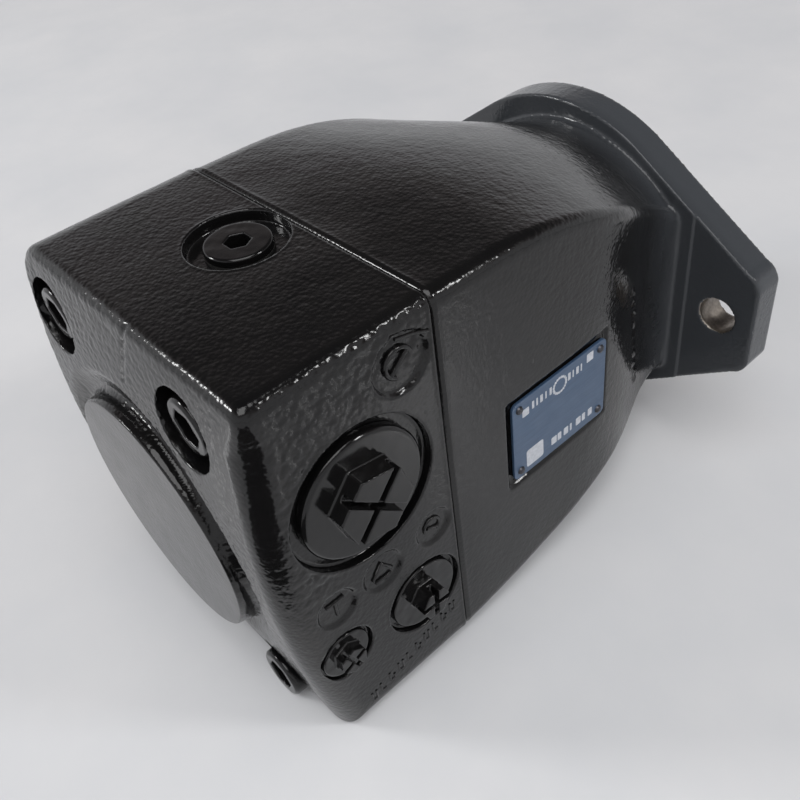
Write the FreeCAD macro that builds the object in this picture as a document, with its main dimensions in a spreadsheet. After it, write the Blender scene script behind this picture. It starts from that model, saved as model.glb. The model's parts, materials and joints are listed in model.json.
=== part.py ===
"""Axial-piston hydraulic motor with a two-bolt flange, as a parametric FreeCAD document.

Frame: the shaft turns about the Y axis and the drive end points to +Y. The origin is on the
shaft axis, on the flange's mounting face, so the housing lies on the -Y side. +Z is up.
Sizes are in millimetres and degrees.
"""
import FreeCAD, Part
import os
import Sketcher

V = FreeCAD.Vector
doc = FreeCAD.newDocument("hydraulic_motor")
sheet = doc.addObject("Spreadsheet::Sheet", "Sizes")
nodes = {}

# ---------------------------------------------------------------- driving dimensions
SIZES = {
    # flange and drive end
    "pilot_radius": 50.8, "pilot_height": 9.5, "flange_thick": 13, "bolt_offset": 73,
    "bolt_hole_radius": 7, "flange_radius": 64, "ear_end": 87.5, "ear_half_height": 20,
    "ear_round": 9, "spotface_start": 59.5, "spotface_depth": 0.6,
    # block outline, measured from the shaft axis
    "block_right": 67, "block_left": 54, "block_top": 79, "block_bottom": 67,
    "seam_distance": 140, "port_plate_length": 55,
    "crown_top": 3, "crown_apex": 8.4, "crown_bottom": -1,
    "edge_top_right": 4.2, "edge_top_left": 14, "edge_bottom": 7, "edge_rear": 4,
    "boss_radius": 42, "boss_flare": 9, "boss_rise": 10.2,
    # joint between the housing and the port plate
    "screw_x": 37.3, "screw_z": 58, "screw_radius": 6, "screw_head_radius": 9,
    "screw_head_height": 12, "screw_hex": 10, "screw_seat": 7.2, "screw_reach": 18,
    "counterbore_radius": 12.2, "dowel_radius": 3, "dowel_length": 14,
    "ring_centre_radius": 50, "ring_section_radius": 1.09, "groove_depth": 2.2,
    # chamber, seal and bearings
    "chamber_radius": 46.5, "chamber_front": 36, "cup_shoulder": 14, "cup_shoulder_radius": 26,
    "front_cup_radius": 31, "rear_cup_radius": 23.5, "seal_radius": 24, "seal_face": 7,
    "seal_length": 8, "clip_thick": 1.2, "rear_pocket": 18,
    "front_bearing_y": 22.6, "front_cone_reach": 8.6, "rear_bearing_y": 149.4,
    "rear_cup_reach": 7.6, "rear_cone_reach": 7.6, "oil_recess_radius": 13,
    "oil_recess_depth": 6,
    # shaft
    "shaft_end": 41, "stub_radius": 11.1125, "journal_seal_radius": 14,
    "journal_front_radius": 15, "journal_rear_radius": 10, "collar_radius": 18.5,
    "waist_radius": 12, "key_width": 6.35, "key_depth": 3.3, "key_length": 25,
    "spline_root": 13.2, "spline_tip": 14.8, "spline_tooth": 3.4, "shaft_rear": 156,
    # rotating group
    "swash_angle": 15, "tilt_centre": 66, "piston_circle": 31, "piston_radius": 8.5,
    "bore_radius": 9.08, "piston_length": 38, "piston_neck": 3.8, "piston_hollow": 5,
    "ball_radius": 6, "ball_gap": 0.05, "sole_height": 9, "sole_thick": 3, "sole_radius": 10,
    "slipper_neck_radius": 7.6, "slipper_lip": 2.2, "film": 0.05,
    "retainer_radius": 42.5, "retainer_thick": 2.5, "retainer_hole": 7.95,
    "centre_ball_radius": 19, "centre_ball_gap": 0.15, "centre_ball_front": 8, "centre_ball_rear": 13,
    "swash_radius": 45.9, "swash_bore": 20,
    "block_front": 82, "barrel_radius": 43.5, "bore_bottom": 126, "valve_thick": 4,
    "web_end": 104, "spring_chamber_radius": 19.5, "kidney_radius": 4,
    "spring_radius": 15.2, "spring_wire": 1.5, "spring_turns": 4, "washer_thick": 2.5,
    "push_pin_radius": 1.9, "push_pin_circle": 17.3,
    # ports and plugs, placed from the seam line and the shaft axis
    "port_y": 170.4, "port_z": 30.9, "port_bore_radius": 18, "port_face_radius": 24.3,
    "port_face_depth": 3.2, "port_bore_end": 16,
    "port_plug_radius": 20.6, "port_plug_thick": 3.4, "port_plug_chamfer": 0.8,
    "port_plug_reach": 13, "port_plug_hex": 21.8, "port_plug_head": 5.8,
    "port_plug_slot": 2.2, "port_plug_turn": 131.5,
    "drain_x": 4.5, "drain_y": 155.7, "drain_face_radius": 15.4, "drain_face_depth": 4.2,
    "drain_plug_radius": 10.2, "drain_plug_thick": 2.6, "drain_bore_radius": 8,
    "drain_plug_reach": 12, "drain_hex": 7, "drain_drill_radius": 4.5,
    "gauge_y": 156, "gauge_z": 28.4, "gauge_bore_radius": 8.5, "gauge_face_radius": 14.6,
    "gauge_plug_radius": 12.8, "gauge_plug_hex": 10.5, "gauge_plug_head": 5.7,
    "gauge_plug_slot": 1.8, "gauge_plug_turn": 5,
    "bleed_y": 187.8, "bleed_z": 26.2, "bleed_bore_radius": 6, "bleed_face_radius": 9.9,
    "bleed_plug_radius": 8.6, "bleed_plug_hex": 9, "bleed_plug_head": 3.7,
    "bleed_plug_slot": 1.4, "bleed_plug_turn": 156,
    "small_face_depth": 2.7, "small_plug_thick": 2.4, "small_plug_chamfer": 0.4,
    "small_plug_reach": 12,
    "passage_outer": 36, "passage_inner": 26, "passage_depth": 26,
    # name plate on the right side
    "plate_back": 113.5, "plate_front": 68.5, "plate_top": 22, "plate_foot": 11,
    "plate_thick": 1, "plate_sink": 1.2, "rivet_radius": 1.5, "rivet_inset": 3.2,
}

# Housing sections behind the mounting face: distance, right, left, then the roof's height at
# its edges and crown, and the floor's depth at its edges and crown.
SECTION_SIZES = ("back", "right", "left", "roof_edge", "roof_crown", "floor_edge", "floor_crown")
SECTIONS = {
    "seam": (140, 67, 54, 79, 79.2, 67, 67.2),
    "shoulder": (112, 67, 54, 78.2, 79.4, 63.2, 65.8),
    "waist": (88, 66.8, 54, 74.6, 78, 57.5, 63.5),
    "taper": (62, 65, 53.5, 65, 72.5, 50.5, 59),
    "neck": (38, 57.5, 52, 51.5, 64.5, 46.5, 57.5),
    "throat": (21, 53, 51, 41, 58.5, 40.5, 56),
    "root": (8, 58.5, 58.5, 34.5, 57, 34.5, 55.5),
}
for section, sizes in SECTIONS.items():
    SIZES.update({f"{section}_{what}": size for what, size in zip(SECTION_SIZES, sizes)})

for row, (alias, size) in enumerate(SIZES.items(), start=1):
    sheet.set(f"A{row}", alias)
    sheet.set(f"B{row}", str(size))
    sheet.setAlias(f"B{row}", alias)
doc.recompute()


def term(text):
    """Puts the sheet's name before every alias in an expression."""
    words = "".join(c if c.isalnum() or c == "_" else " " for c in text).split()
    for word in sorted({w for w in words if w in SIZES}, key=len, reverse=True):
        text = replace_word(text, word, f"Sizes.{word}")
    return text


def replace_word(text, word, new):
    """Replaces a whole word, and leaves longer words that hold it."""
    out = ""
    rest = text
    while word in rest:
        before, rest = rest.split(word, 1)
        joined = (before[-1:].isalnum() or before[-1:] in ("_", ".")
                  or rest[:1].isalnum() or rest[:1] == "_")
        out += before + (word if joined else new)
    return out + rest


def value(text):
    """The number that an expression gives now."""
    number = sheet.evalExpression(term(text))
    return float(getattr(number, "Value", number))


def bind(thing, **properties):
    """Binds properties of an object to expressions. A double underscore stands for a dot."""
    for name, text in properties.items():
        thing.setExpression(name.replace("__", "."), term(text))
    return thing


def place(thing, at=("0", "0", "0"), axis=None, angle=None):
    """Binds where an object stands, and turns it about an axis by a bound angle."""
    if axis is not None:
        thing.Placement = FreeCAD.Placement(V(), FreeCAD.Rotation(axis, value(angle)))
        bind(thing, Placement__Rotation__Angle=angle)
    bind(thing, Placement__Base__x=at[0], Placement__Base__y=at[1], Placement__Base__z=at[2])
    return thing


def node(label, thing):
    """Keeps an object as a finished sub-part."""
    thing.Label = label
    nodes[label] = thing
    return thing


# ---------------------------------------------------------------- sketches and features
X_AXIS, Y_AXIS, Z_AXIS = V(1, 0, 0), V(0, 1, 0), V(0, 0, 1)
AXIAL, PLAN, SIDE = "XY_Plane", "XZ_Plane", "YZ_Plane"


def new_body(name):
    return doc.addObject("PartDesign::Body", name)


def new_sketch(body, name, role, offset="0"):
    """A sketch on one of its body's own origin planes, moved along the plane's normal."""
    sketch = body.newObject("Sketcher::SketchObject", name)
    plane = [f for f in body.Origin.OriginFeatures if f.Role == role][0]
    sketch.AttachmentSupport = [(plane, "")]
    sketch.MapMode = "FlatFace"
    bind(sketch, AttachmentOffset__Base__z=offset)
    return sketch


def pin_point(sketch, edge, end, corner):
    """Holds one end of an edge at a bound distance from the sketch's origin."""
    for kind, text in zip(("DistanceX", "DistanceY"), corner):
        index = sketch.addConstraint(Sketcher.Constraint(kind, -1, 1, edge, end, value(text)))
        sketch.setExpression(f"Constraints[{index}]", term(text))


def draw_outline(sketch, corners, crowns=None):
    """A closed outline through bound corners. crowns gives an edge's bulge, as a bound height."""
    crowns = crowns or {}
    points = [V(value(a), value(b), 0) for a, b in corners]
    count = len(points)
    for i, start in enumerate(points):
        end = points[(i + 1) % count]
        if i not in crowns:
            sketch.addGeometry(Part.LineSegment(start, end), False)
            continue
        out = (end - start).cross(Z_AXIS).normalize()
        middle = (start + end) * 0.5 + out * value(crowns[i])
        sketch.addGeometry(Part.Arc(start, middle, end), False)
    turning = {i: counter_clockwise(sketch.Geometry[i], points[i]) for i in crowns}
    first = {i: 1 if turning.get(i, True) else 2 for i in range(count)}
    for i in range(count):
        after = (i + 1) % count
        sketch.addConstraint(
            Sketcher.Constraint("Coincident", i, 3 - first[i], after, first[after]))
    for i, corner in enumerate(corners):
        pin_point(sketch, i, first[i], corner)
    for i, bulge in crowns.items():
        (xa, ya), (xb, yb) = corners[i], corners[(i + 1) % count]
        half = f"(((({xb})-({xa}))^2+(({yb})-({ya}))^2)/4)"
        radius = f"({half}+({bulge})^2)/(2*({bulge}))"
        index = sketch.addConstraint(Sketcher.Constraint("Radius", i, value(radius)))
        sketch.setExpression(f"Constraints[{index}]", term(radius))
    return sketch


def counter_clockwise(arc, start):
    """Whether an arc that was drawn from start keeps start as its first point."""
    return arc.StartPoint.distanceToPoint(start) < 1e-6


def revolve(body, name, corners, angle="360", cut=False):
    """Turns an outline of (radius, axial place) corners about the body's Y axis."""
    sketch = draw_outline(new_sketch(body, f"{name}_outline", AXIAL), corners)
    kind = "PartDesign::Groove" if cut else "PartDesign::Revolution"
    feature = body.newObject(kind, name)
    feature.Profile = sketch
    feature.ReferenceAxis = (sketch, ["V_Axis"])
    bind(feature, Angle=angle)
    return feature


def turned(name, corners, angle="360"):
    """A body turned about its Y axis."""
    body = new_body(name)
    revolve(body, f"{name}_turn", corners, angle)
    return body


def ring(name, inner, outer, low, high, angle="360"):
    """A plain ring or disc about the Y axis."""
    corners = ((inner, low), (outer, low), (outer, high), (inner, high))
    return turned(name, corners, angle)


def extrude(body, name, sketch, length, cut=False, flip=False):
    """Pads or pockets a sketch by a bound length."""
    feature = body.newObject("PartDesign::Pocket" if cut else "PartDesign::Pad", name)
    feature.Profile = sketch
    feature.Type = 0
    feature.Reversed = flip
    bind(feature, Length=length)
    return feature


def circle_on(sketch, centre, radius):
    """A bound circle."""
    x, y = value(centre[0]), value(centre[1])
    edge = sketch.addGeometry(Part.Circle(V(x, y, 0), Z_AXIS, value(radius)), False)
    pin_point(sketch, edge, 3, centre)
    index = sketch.addConstraint(Sketcher.Constraint("Radius", edge, value(radius)))
    sketch.setExpression(f"Constraints[{index}]", term(radius))
    return sketch


def hexagon_on(sketch, across, turn="0"):
    """A hexagon about the sketch's origin, by its width across the flats and its turn."""
    far = f"({across})/sqrt(3)"
    corners = [(f"{far}*cos({turn}+{step})", f"{far}*sin({turn}+{step})")
               for step in range(0, 360, 60)]
    return draw_outline(sketch, corners)


def hex_socket(body, name, across, mouth, depth):
    """A hexagonal socket that opens at the mouth's place and runs towards -Y."""
    sketch = hexagon_on(new_sketch(body, f"{name}_outline", PLAN, f"-({mouth})"), across)
    return extrude(body, name, sketch, depth, cut=True, flip=True)


def repeat(body, name, feature, count):
    """Repeats a feature round the body's Y axis."""
    doc.recompute()
    pattern = body.newObject("PartDesign::PolarPattern", name)
    pattern.Originals = [feature]
    axis = [f for f in body.Origin.OriginFeatures if f.Role == "Y_Axis"][0]
    pattern.Axis = (axis, [""])
    pattern.Angle = 360
    pattern.Occurrences = count
    body.Tip = pattern
    return pattern


def round_edges(body, name, radius, wanted):
    """Rounds the edges of the body's last shape that wanted(edge's middle, edge) picks."""
    doc.recompute()
    base = body.Tip
    picked = []
    for i, edge in enumerate(base.Shape.Edges, start=1):
        middle = edge.valueAt((edge.FirstParameter + edge.LastParameter) / 2)
        if wanted(middle, edge):
            picked.append(f"Edge{i}")
    feature = body.newObject("PartDesign::Fillet", name)
    feature.Base = (base, picked)
    bind(feature, Radius=radius)
    return feature


def cylinder(name, radius, length, at=("0", "0", "0"), along=Y_AXIS, angle="360"):
    """A Part cylinder that starts at a point and runs along a direction."""
    thing = doc.addObject("Part::Cylinder", name)
    bind(thing, Radius=radius, Height=length, Angle=angle)
    thing.Placement = FreeCAD.Placement(V(), FreeCAD.Rotation(Z_AXIS, along))
    return place(thing, at)


def fused(name, parts):
    thing = doc.addObject("Part::MultiFuse", name)
    thing.Shapes = parts
    return thing


def carved(name, base, tools):
    """The base with every tool cut away."""
    thing = doc.addObject("Part::Cut", name)
    thing.Base = base
    thing.Tool = tools[0] if len(tools) == 1 else fused(f"{name}_tools", tools)
    return thing


def grouped(name, parts):
    """Separate solids kept as one sub-part."""
    thing = doc.addObject("Part::Compound", name)
    thing.Links = parts
    return thing


SEAM = "-seam_distance"
REAR = "(-seam_distance-port_plate_length)"
OUTWARD = {"right": (X_AXIS, Z_AXIS, "-90"), "left": (-X_AXIS, Z_AXIS, "90"),
           "top": (Z_AXIS, X_AXIS, "90"), "bottom": (-Z_AXIS, X_AXIS, "-90")}


# ---------------------------------------------------------------- housing
CORNER_BULGE = 0.25


def housing_section(body, name):
    """One cross-section of the housing: two upright sides, a crowned roof and floor, and
    rounded corners between them."""
    right, left, roof, floor = (f"{name}_{w}" for w in ("right", "left", "roof_edge", "floor_edge"))
    roof_right, roof_left, low = "edge_top_right", "edge_top_left", "edge_bottom"
    corners = ((right, f"{low}-{floor}"), (right, f"{roof}-{roof_right}"),
               (f"{right}-{roof_right}", roof), (f"{roof_left}-{left}", roof),
               (f"-{left}", f"{roof}-{roof_left}"), (f"-{left}", f"{low}-{floor}"),
               (f"{low}-{left}", f"-{floor}"), (f"{right}-{low}", f"-{floor}"))
    crowns = {1: f"{roof_right}*{CORNER_BULGE}", 2: f"{name}_roof_crown-{roof}",
              3: f"{roof_left}*{CORNER_BULGE}", 5: f"{low}*{CORNER_BULGE}",
              6: f"{name}_floor_crown-{floor}", 7: f"{low}*{CORNER_BULGE}"}
    sketch = new_sketch(body, f"section_{name}", PLAN, f"{name}_back")
    return draw_outline(sketch, corners, crowns)


def flange_outline(sketch):
    """Two ears joined by tangent straights to the round middle, drawn as twelve edges."""
    slope = "58"
    x1, z1 = f"flange_radius*cos({slope})", f"flange_radius*sin({slope})"
    bulge = f"flange_radius*(1-sin({slope}))"
    ear_corner = ("ear_end", "ear_half_height-ear_round/2")
    ear_shoulder = ("ear_end-ear_round*0.62", "ear_half_height+ear_round*0.22")
    corners = []
    crowns = {}
    signs = ((1, 1), (-1, 1), (-1, -1), (1, -1))
    for i, (sx, sz) in enumerate(signs):
        points = [(f"{sx}*({x})", f"{sz}*({z})") for x, z in (ear_corner, ear_shoulder, (x1, z1))]
        if i % 2:
            points.reverse()
        corners += points
    for edge in (0, 4, 6, 10):
        crowns[edge] = "ear_round*0.13"
    crowns[2] = bulge
    crowns[8] = bulge
    return draw_outline(sketch, corners, crowns)


def make_housing():
    body = new_body("housing_casting")
    sketches = [housing_section(body, name) for name in SECTIONS]
    loft = body.newObject("PartDesign::AdditiveLoft", "casting_loft")
    loft.Profile = sketches[0]
    loft.Sections = sketches[1:]

    flange = flange_outline(new_sketch(body, "flange_outline", PLAN))
    extrude(body, "flange_pad", flange, "flange_thick")
    revolve(body, "pilot", (("0", "-1"), ("pilot_radius", "-1"),
                            ("pilot_radius", "pilot_height-1"),
                            ("pilot_radius-1", "pilot_height"), ("0", "pilot_height")))
    for side in (-1, 1):
        hole = new_sketch(body, f"bolt_hole_outline_{side + 1}", PLAN, "-1")
        circle_on(hole, (f"{side}*bolt_offset", "0"), "bolt_hole_radius")
        extrude(body, f"bolt_hole_{side + 1}", hole, "flange_thick+4", cut=True, flip=True)
    chamber = (("0", f"{SEAM}-1"), ("chamber_radius", f"{SEAM}-1"),
               ("chamber_radius", "-chamber_front"), ("front_cup_radius", "-chamber_front"),
               ("front_cup_radius", "-cup_shoulder"), ("cup_shoulder_radius", "-cup_shoulder"),
               ("cup_shoulder_radius", "-cup_shoulder+2"), ("seal_radius-3", "-cup_shoulder+2"),
               ("seal_radius-3", "seal_face-seal_length"),
               ("seal_radius", "seal_face-seal_length"),
               ("seal_radius", "pilot_height+1"), ("0", "pilot_height+1"))
    revolve(body, "chamber", chamber, cut=True)
    clip_low = "seal_face+0.05"
    clip_high = "seal_face+0.15+clip_thick"
    revolve(body, "clip_groove", (("seal_radius-1", clip_low), ("seal_radius+1.6", clip_low),
                                  ("seal_radius+1.6", clip_high), ("seal_radius-1", clip_high)),
            cut=True)
    inner, outer = "ring_centre_radius-1.7", "ring_centre_radius+1.9"
    revolve(body, "ring_groove", ((inner, f"{SEAM}-1"), (outer, f"{SEAM}-1"),
                                  (outer, f"{SEAM}+groove_depth"),
                                  (inner, f"{SEAM}+groove_depth")), cut=True)

    tools = []
    for i, (x, z) in enumerate(screw_places()):
        tools.append(cylinder(f"tapped_hole_{i + 1}", "screw_radius", "screw_reach+3",
                              (x, f"{SEAM}-1", z)))
    for i, (x, z) in enumerate(DOWELS):
        tools.append(cylinder(f"housing_dowel_hole_{i + 1}", "dowel_radius",
                              "dowel_length/2+1.2", (x, f"{SEAM}-1", z)))
    for i, x in enumerate(SWASH_PINS):
        tools.append(cylinder(f"housing_pin_hole_{i + 1}", "3", "7",
                              (x, "-chamber_front-1", "0")))
    recess = doc.addObject("Part::Box", "plate_recess")
    bind(recess, Length="10", Width="plate_back-plate_front+1.6",
         Height="plate_top+plate_foot+1.6")
    place(recess, ("block_right-plate_sink", "-plate_back-0.8", "-plate_foot-0.8"))
    tools.append(recess)
    for i, (y, z) in enumerate(rivet_places()):
        tools.append(cylinder(f"rivet_hole_{i + 1}", "rivet_radius*0.6", "6",
                              ("block_right-plate_sink-5", y, z), X_AXIS))
    for side in (-1, 1):
        face = doc.addObject("Part::Box", f"ear_spotface_{side + 1}")
        bind(face, Length="40", Width="20", Height="80")
        x = "spotface_start" if side > 0 else "-spotface_start-40"
        place(face, (x, "-flange_thick+spotface_depth-20", "-40"))
        tools.append(face)
    node("housing", carved("housing_machined", body, tools))


def screw_places():
    return [(f"{sx}*screw_x", f"{sz}*screw_z") for sz in (1, -1) for sx in (-1, 1)]


def rivet_places():
    back, front = "-plate_back+rivet_inset", "-plate_front-rivet_inset"
    top, foot = "plate_top-rivet_inset", "-plate_foot+rivet_inset"
    return [(y, z) for z in (top, foot) for y in (back, front)]


DOWELS = (("56", "-46"), ("-46", "40"))
SWASH_PINS = ("-38", "38")


# ---------------------------------------------------------------- port plate
def make_port_plate():
    body = new_body("port_plate_casting")
    top_y, bottom_y = f"{REAR}-crown_top", f"{REAR}-crown_bottom"
    corners = ((SEAM, "-block_bottom"), (SEAM, "block_top"),
               (top_y, "block_top"), (bottom_y, "-block_bottom"))
    crown = {2: "crown_apex-(crown_top+crown_bottom)/2"}
    sketch = new_sketch(body, "side_outline", SIDE, "-block_left")
    draw_outline(sketch, corners, crown)
    extrude(body, "side_pad", sketch, "block_left+block_right")

    def along_y(upper, right):
        return lambda m, e: (e.BoundBox.YLength > 40 and e.BoundBox.ZLength < 5
                             and (m.z > 0) == upper and (m.x > 20) == right)

    round_edges(body, "edge_roof_left", "edge_top_left", along_y(True, False))
    round_edges(body, "edge_floor_left", "edge_bottom", along_y(False, False))
    round_edges(body, "edge_floor_right", "edge_bottom", along_y(False, True))
    round_edges(body, "edge_roof_right", "edge_top_right", along_y(True, True))
    round_edges(body, "edge_rear", "edge_rear",
                lambda m, e: m.y < -181 and e.BoundBox.YLength < 40)
    boss_back = f"{REAR}-boss_rise"
    revolve(body, "boss", (("0", boss_back), ("boss_radius", boss_back),
                           ("boss_radius+boss_flare", f"{REAR}+2"),
                           ("boss_radius+boss_flare", f"{REAR}+6"), ("0", f"{REAR}+6")))
    pocket_end = f"{SEAM}-rear_pocket"
    recess_end = f"{pocket_end}-oil_recess_depth"
    revolve(body, "bearing_pocket", (("0", recess_end), ("oil_recess_radius", recess_end),
                                     ("oil_recess_radius", pocket_end),
                                     ("rear_cup_radius", pocket_end),
                                     ("rear_cup_radius", f"{SEAM}+1"), ("0", f"{SEAM}+1")),
            cut=True)

    tools = []
    for i, (x, z) in enumerate(screw_places()):
        seat = f"{REAR}+screw_seat"
        tools.append(cylinder(f"screw_hole_{i + 1}", "screw_radius+0.5",
                              "port_plate_length", (x, f"{REAR}+1", z)))
        tools.append(cylinder(f"screw_counterbore_{i + 1}", "counterbore_radius", "30",
                              (x, f"{seat}-30", z)))
    for i, (x, z) in enumerate(DOWELS):
        tools.append(cylinder(f"plate_dowel_hole_{i + 1}", "dowel_radius",
                              "dowel_length/2+1.2", (x, f"{SEAM}-dowel_length/2-0.2", z)))
    tools.append(cylinder("valve_pin_hole", "2", "7.2", ("0", f"{SEAM}-6.2", "38.5")))
    for side, start in (("right", "-60"), ("left", "120")):
        tools.append(ring_sector(f"passage_{side}", "passage_outer", "passage_inner",
                                 "passage_depth+1", start, f"{SEAM}-passage_depth"))
        tools.append(port_tool(side))
    for side in ("top", "bottom"):
        tools.append(plug_tool(side, f"drain_{side}", DRAIN_SPOT, "drain_face_radius",
                               "drain_face_depth", "drain_bore_radius", "drain_plug_reach+1",
                               "drain_drill_radius", f"{SURFACE[side]}-oil_recess_radius+5"))
    for name, depth in SMALL_PORTS:
        tools.append(plug_tool("right", name, (f"-{name}_z", f"-{name}_y"),
                               f"{name}_face_radius", "small_face_depth",
                               f"{name}_bore_radius", "small_plug_reach+4", "2", depth))
    node("port_plate", carved("port_plate_machined", body, tools))


# name and depth of the drilling
SMALL_PORTS = (("gauge", "block_right-22"), ("bleed", "small_plug_reach+12"))
DRAIN_SPOT = ("drain_x", "-drain_y")
SURFACE = {"right": "block_right", "left": "block_left",
           "top": "block_top", "bottom": "block_bottom"}


def ring_sector(name, outer, inner, length, start, low):
    """A curved slot about the Y axis, 120 degrees long, for the kidney-shaped passages."""
    parts = []
    for which, radius in (("outer", outer), ("inner", inner)):
        part = cylinder(f"{name}_{which}", radius, length, ("0", low, "0"), angle="120")
        turn = FreeCAD.Rotation(Y_AXIS, value(start) + 90)
        part.Placement = FreeCAD.Placement(part.Placement.Base,
                                           turn.multiply(FreeCAD.Rotation(Z_AXIS, Y_AXIS)))
        bind(part, Placement__Base__y=low)
        parts.append(part)
    thing = doc.addObject("Part::Cut", name)
    thing.Base, thing.Tool = parts
    return thing


def facing(thing, side, spot):
    """Turns a body that was made along +Y to face outwards from a side of the block.
    spot holds its place along Y and its offset across, and its origin lies on the surface."""
    axis, angle = OUTWARD[side][1:]
    y, across = spot[1], spot[0]
    at = {"right": (SURFACE[side], y, across), "left": (f"-{SURFACE[side]}", y, across),
          "top": (across, y, SURFACE[side]), "bottom": (across, y, f"-{SURFACE[side]}")}
    return place(thing, at[side], axis, angle)


def port_tool(side):
    """A service port: spot-face, chamfered mouth and bore, running in to meet its passage."""
    end = f"-{SURFACE[side]}+port_bore_end"
    corners = (("0", end), ("port_bore_radius-3", end),
               ("port_bore_radius-3", "-port_plug_reach-6"),
               ("port_bore_radius", "-port_plug_reach-6"),
               ("port_bore_radius", "-port_face_depth-1"),
               ("port_bore_radius+1", "-port_face_depth"),
               ("port_face_radius", "-port_face_depth"), ("port_face_radius+0.4", "12"),
               ("0", "12"))
    return facing(turned(f"port_{side}_tool", corners), side, ("port_z", "-port_y"))


def plug_tool(side, name, spot, face_radius, face_depth, bore, bore_depth, drill, deep):
    """A small port: spot-face, plug bore and a narrower drilling to a stated depth."""
    corners = (("0", f"-({deep})"), (drill, f"-({deep})"), (drill, f"-({bore_depth})"),
               (bore, f"-({bore_depth})"), (bore, f"-({face_depth})"),
               (face_radius, f"-({face_depth})"), (face_radius, "12"), ("0", "12"))
    return facing(turned(f"{name}_tool", corners), side, spot)


# ---------------------------------------------------------------- screws, plugs and plate
def make_screws():
    screws = []
    head_face, seat = f"{REAR}+screw_seat-screw_head_height", f"{REAR}+screw_seat"
    for i, (x, z) in enumerate(screw_places()):
        corners = (("0", head_face), ("screw_head_radius-0.9", head_face),
                   ("screw_head_radius", f"{head_face}+0.9"), ("screw_head_radius", seat),
                   ("screw_radius-0.02", seat), ("screw_radius-0.02", f"{SEAM}+screw_reach-1"),
                   ("screw_radius-1", f"{SEAM}+screw_reach"), ("0", f"{SEAM}+screw_reach"))
        screw = turned(f"cap_screw_{i + 1}", corners)
        sketch = new_sketch(screw, f"socket_outline_{i + 1}", PLAN, f"-({head_face})")
        extrude(screw, f"socket_{i + 1}", hexagon_on(sketch, "screw_hex"), "6", cut=True)
        screws.append(place(screw, (x, "0", z)))
    node("port_plate_screws", grouped("screw_set", screws))
    dowels = [cylinder(f"dowel_{i + 1}", "dowel_radius-0.01", "dowel_length",
                       (x, f"{SEAM}-dowel_length/2", z)) for i, (x, z) in enumerate(DOWELS)]
    node("port_plate_dowels", grouped("dowel_set", dowels))
    ring_seal = doc.addObject("Part::Torus", "ring_seal")
    bind(ring_seal, Radius1="ring_centre_radius", Radius2="ring_section_radius")
    ring_seal.Placement = FreeCAD.Placement(V(), FreeCAD.Rotation(Z_AXIS, Y_AXIS))
    place(ring_seal, ("0", f"{SEAM}+groove_depth/2", "0"))
    node("housing_seal", ring_seal)


def crossed_slots(body, name, reach, width, mouth, depth, turn):
    """Two slots that cross at right angles, cut from a mouth towards -Y."""
    for i, angle in enumerate((f"({turn})", f"({turn}+90)")):
        along, half = f"({reach})", f"({width}/2)"
        corners = [(f"{a}*{along}*cos{angle}-({b})*{half}*sin{angle}",
                    f"{a}*{along}*sin{angle}+({b})*{half}*cos{angle}")
                   for a, b in ((1, 1), (-1, 1), (-1, -1), (1, -1))]
        sketch = new_sketch(body, f"{name}_slot_outline_{i + 1}", PLAN, f"-({mouth})")
        draw_outline(sketch, corners)
        extrude(body, f"{name}_slot_{i + 1}", sketch, depth, cut=True, flip=True)


def cap_plug(name, side, spot, kind, size, bore, face_depth):
    """A moulded transit plug: a round flange with a slotted hexagonal head on it.
    kind begins the names of its own sizes, and size those of its thickness and reach."""
    low, rim = f"-{face_depth}", f"(-{face_depth}+{size}_thick)"
    shank, flange = f"-{size}_reach", f"{kind}_radius"
    corners = (("0", shank), (f"{bore}-0.8", shank), (f"{bore}-0.05", f"{shank}+0.8"),
               (f"{bore}-0.05", low), (flange, low), (flange, f"{rim}-{size}_chamfer"),
               (f"{flange}-{size}_chamfer", rim), ("0", rim))
    body = turned(f"{name}_body", corners)
    base = new_sketch(body, f"{name}_head_outline", PLAN, f"-{rim}")
    hexagon = hexagon_on(base, f"{kind}_hex", f"{kind}_turn")
    extrude(body, f"{name}_head", hexagon, f"{kind}_head", flip=True)
    crossed_slots(body, name, f"{kind}_hex*0.7", f"{kind}_slot", f"{rim}+{kind}_head",
                  f"{kind}_head*0.7", f"{kind}_turn")
    node(name, facing(body, side, spot))


def threaded_plug(name, side, spot, head, thick, bore, reach, across, face):
    """A screw plug with a flat head on its spot-face and a hexagonal socket."""
    low, rim = f"-({face})", f"-({face})+({thick})"
    corners = (("0", f"-({reach})"), (f"{bore}-0.9", f"-({reach})"),
               (f"{bore}-0.04", f"-({reach})+0.9"), (f"{bore}-0.04", low), (head, low),
               (head, f"{rim}-0.5"), (f"{head}-0.5", rim), ("0", rim))
    body = turned(f"{name}_body", corners)
    hex_socket(body, f"{name}_socket", across, rim, "6.5")
    node(name, facing(body, side, spot))


def make_plugs():
    for side in ("right", "left"):
        cap_plug(f"service_port_plug_{side}", side, ("port_z", "-port_y"), "port_plug",
                 "port_plug", "port_bore_radius", "port_face_depth")
    for side in ("top", "bottom"):
        face = "drain_face_depth-0.8"
        threaded_plug(f"{side}_drain_plug", side, DRAIN_SPOT, "drain_plug_radius",
                      "drain_plug_thick", "drain_bore_radius", "drain_plug_reach",
                      "drain_hex", face)
        seal = ring(f"{side}_drain_seal_body", "drain_bore_radius", "drain_plug_radius",
                    "-drain_face_depth", f"-({face})")
        node(f"{side}_drain_seal", facing(seal, side, DRAIN_SPOT))
    for name, _ in SMALL_PORTS:
        cap_plug(f"{name}_port_plug", "right", (f"-{name}_z", f"-{name}_y"), f"{name}_plug",
                 "small_plug", f"{name}_bore_radius", "small_face_depth")


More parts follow.
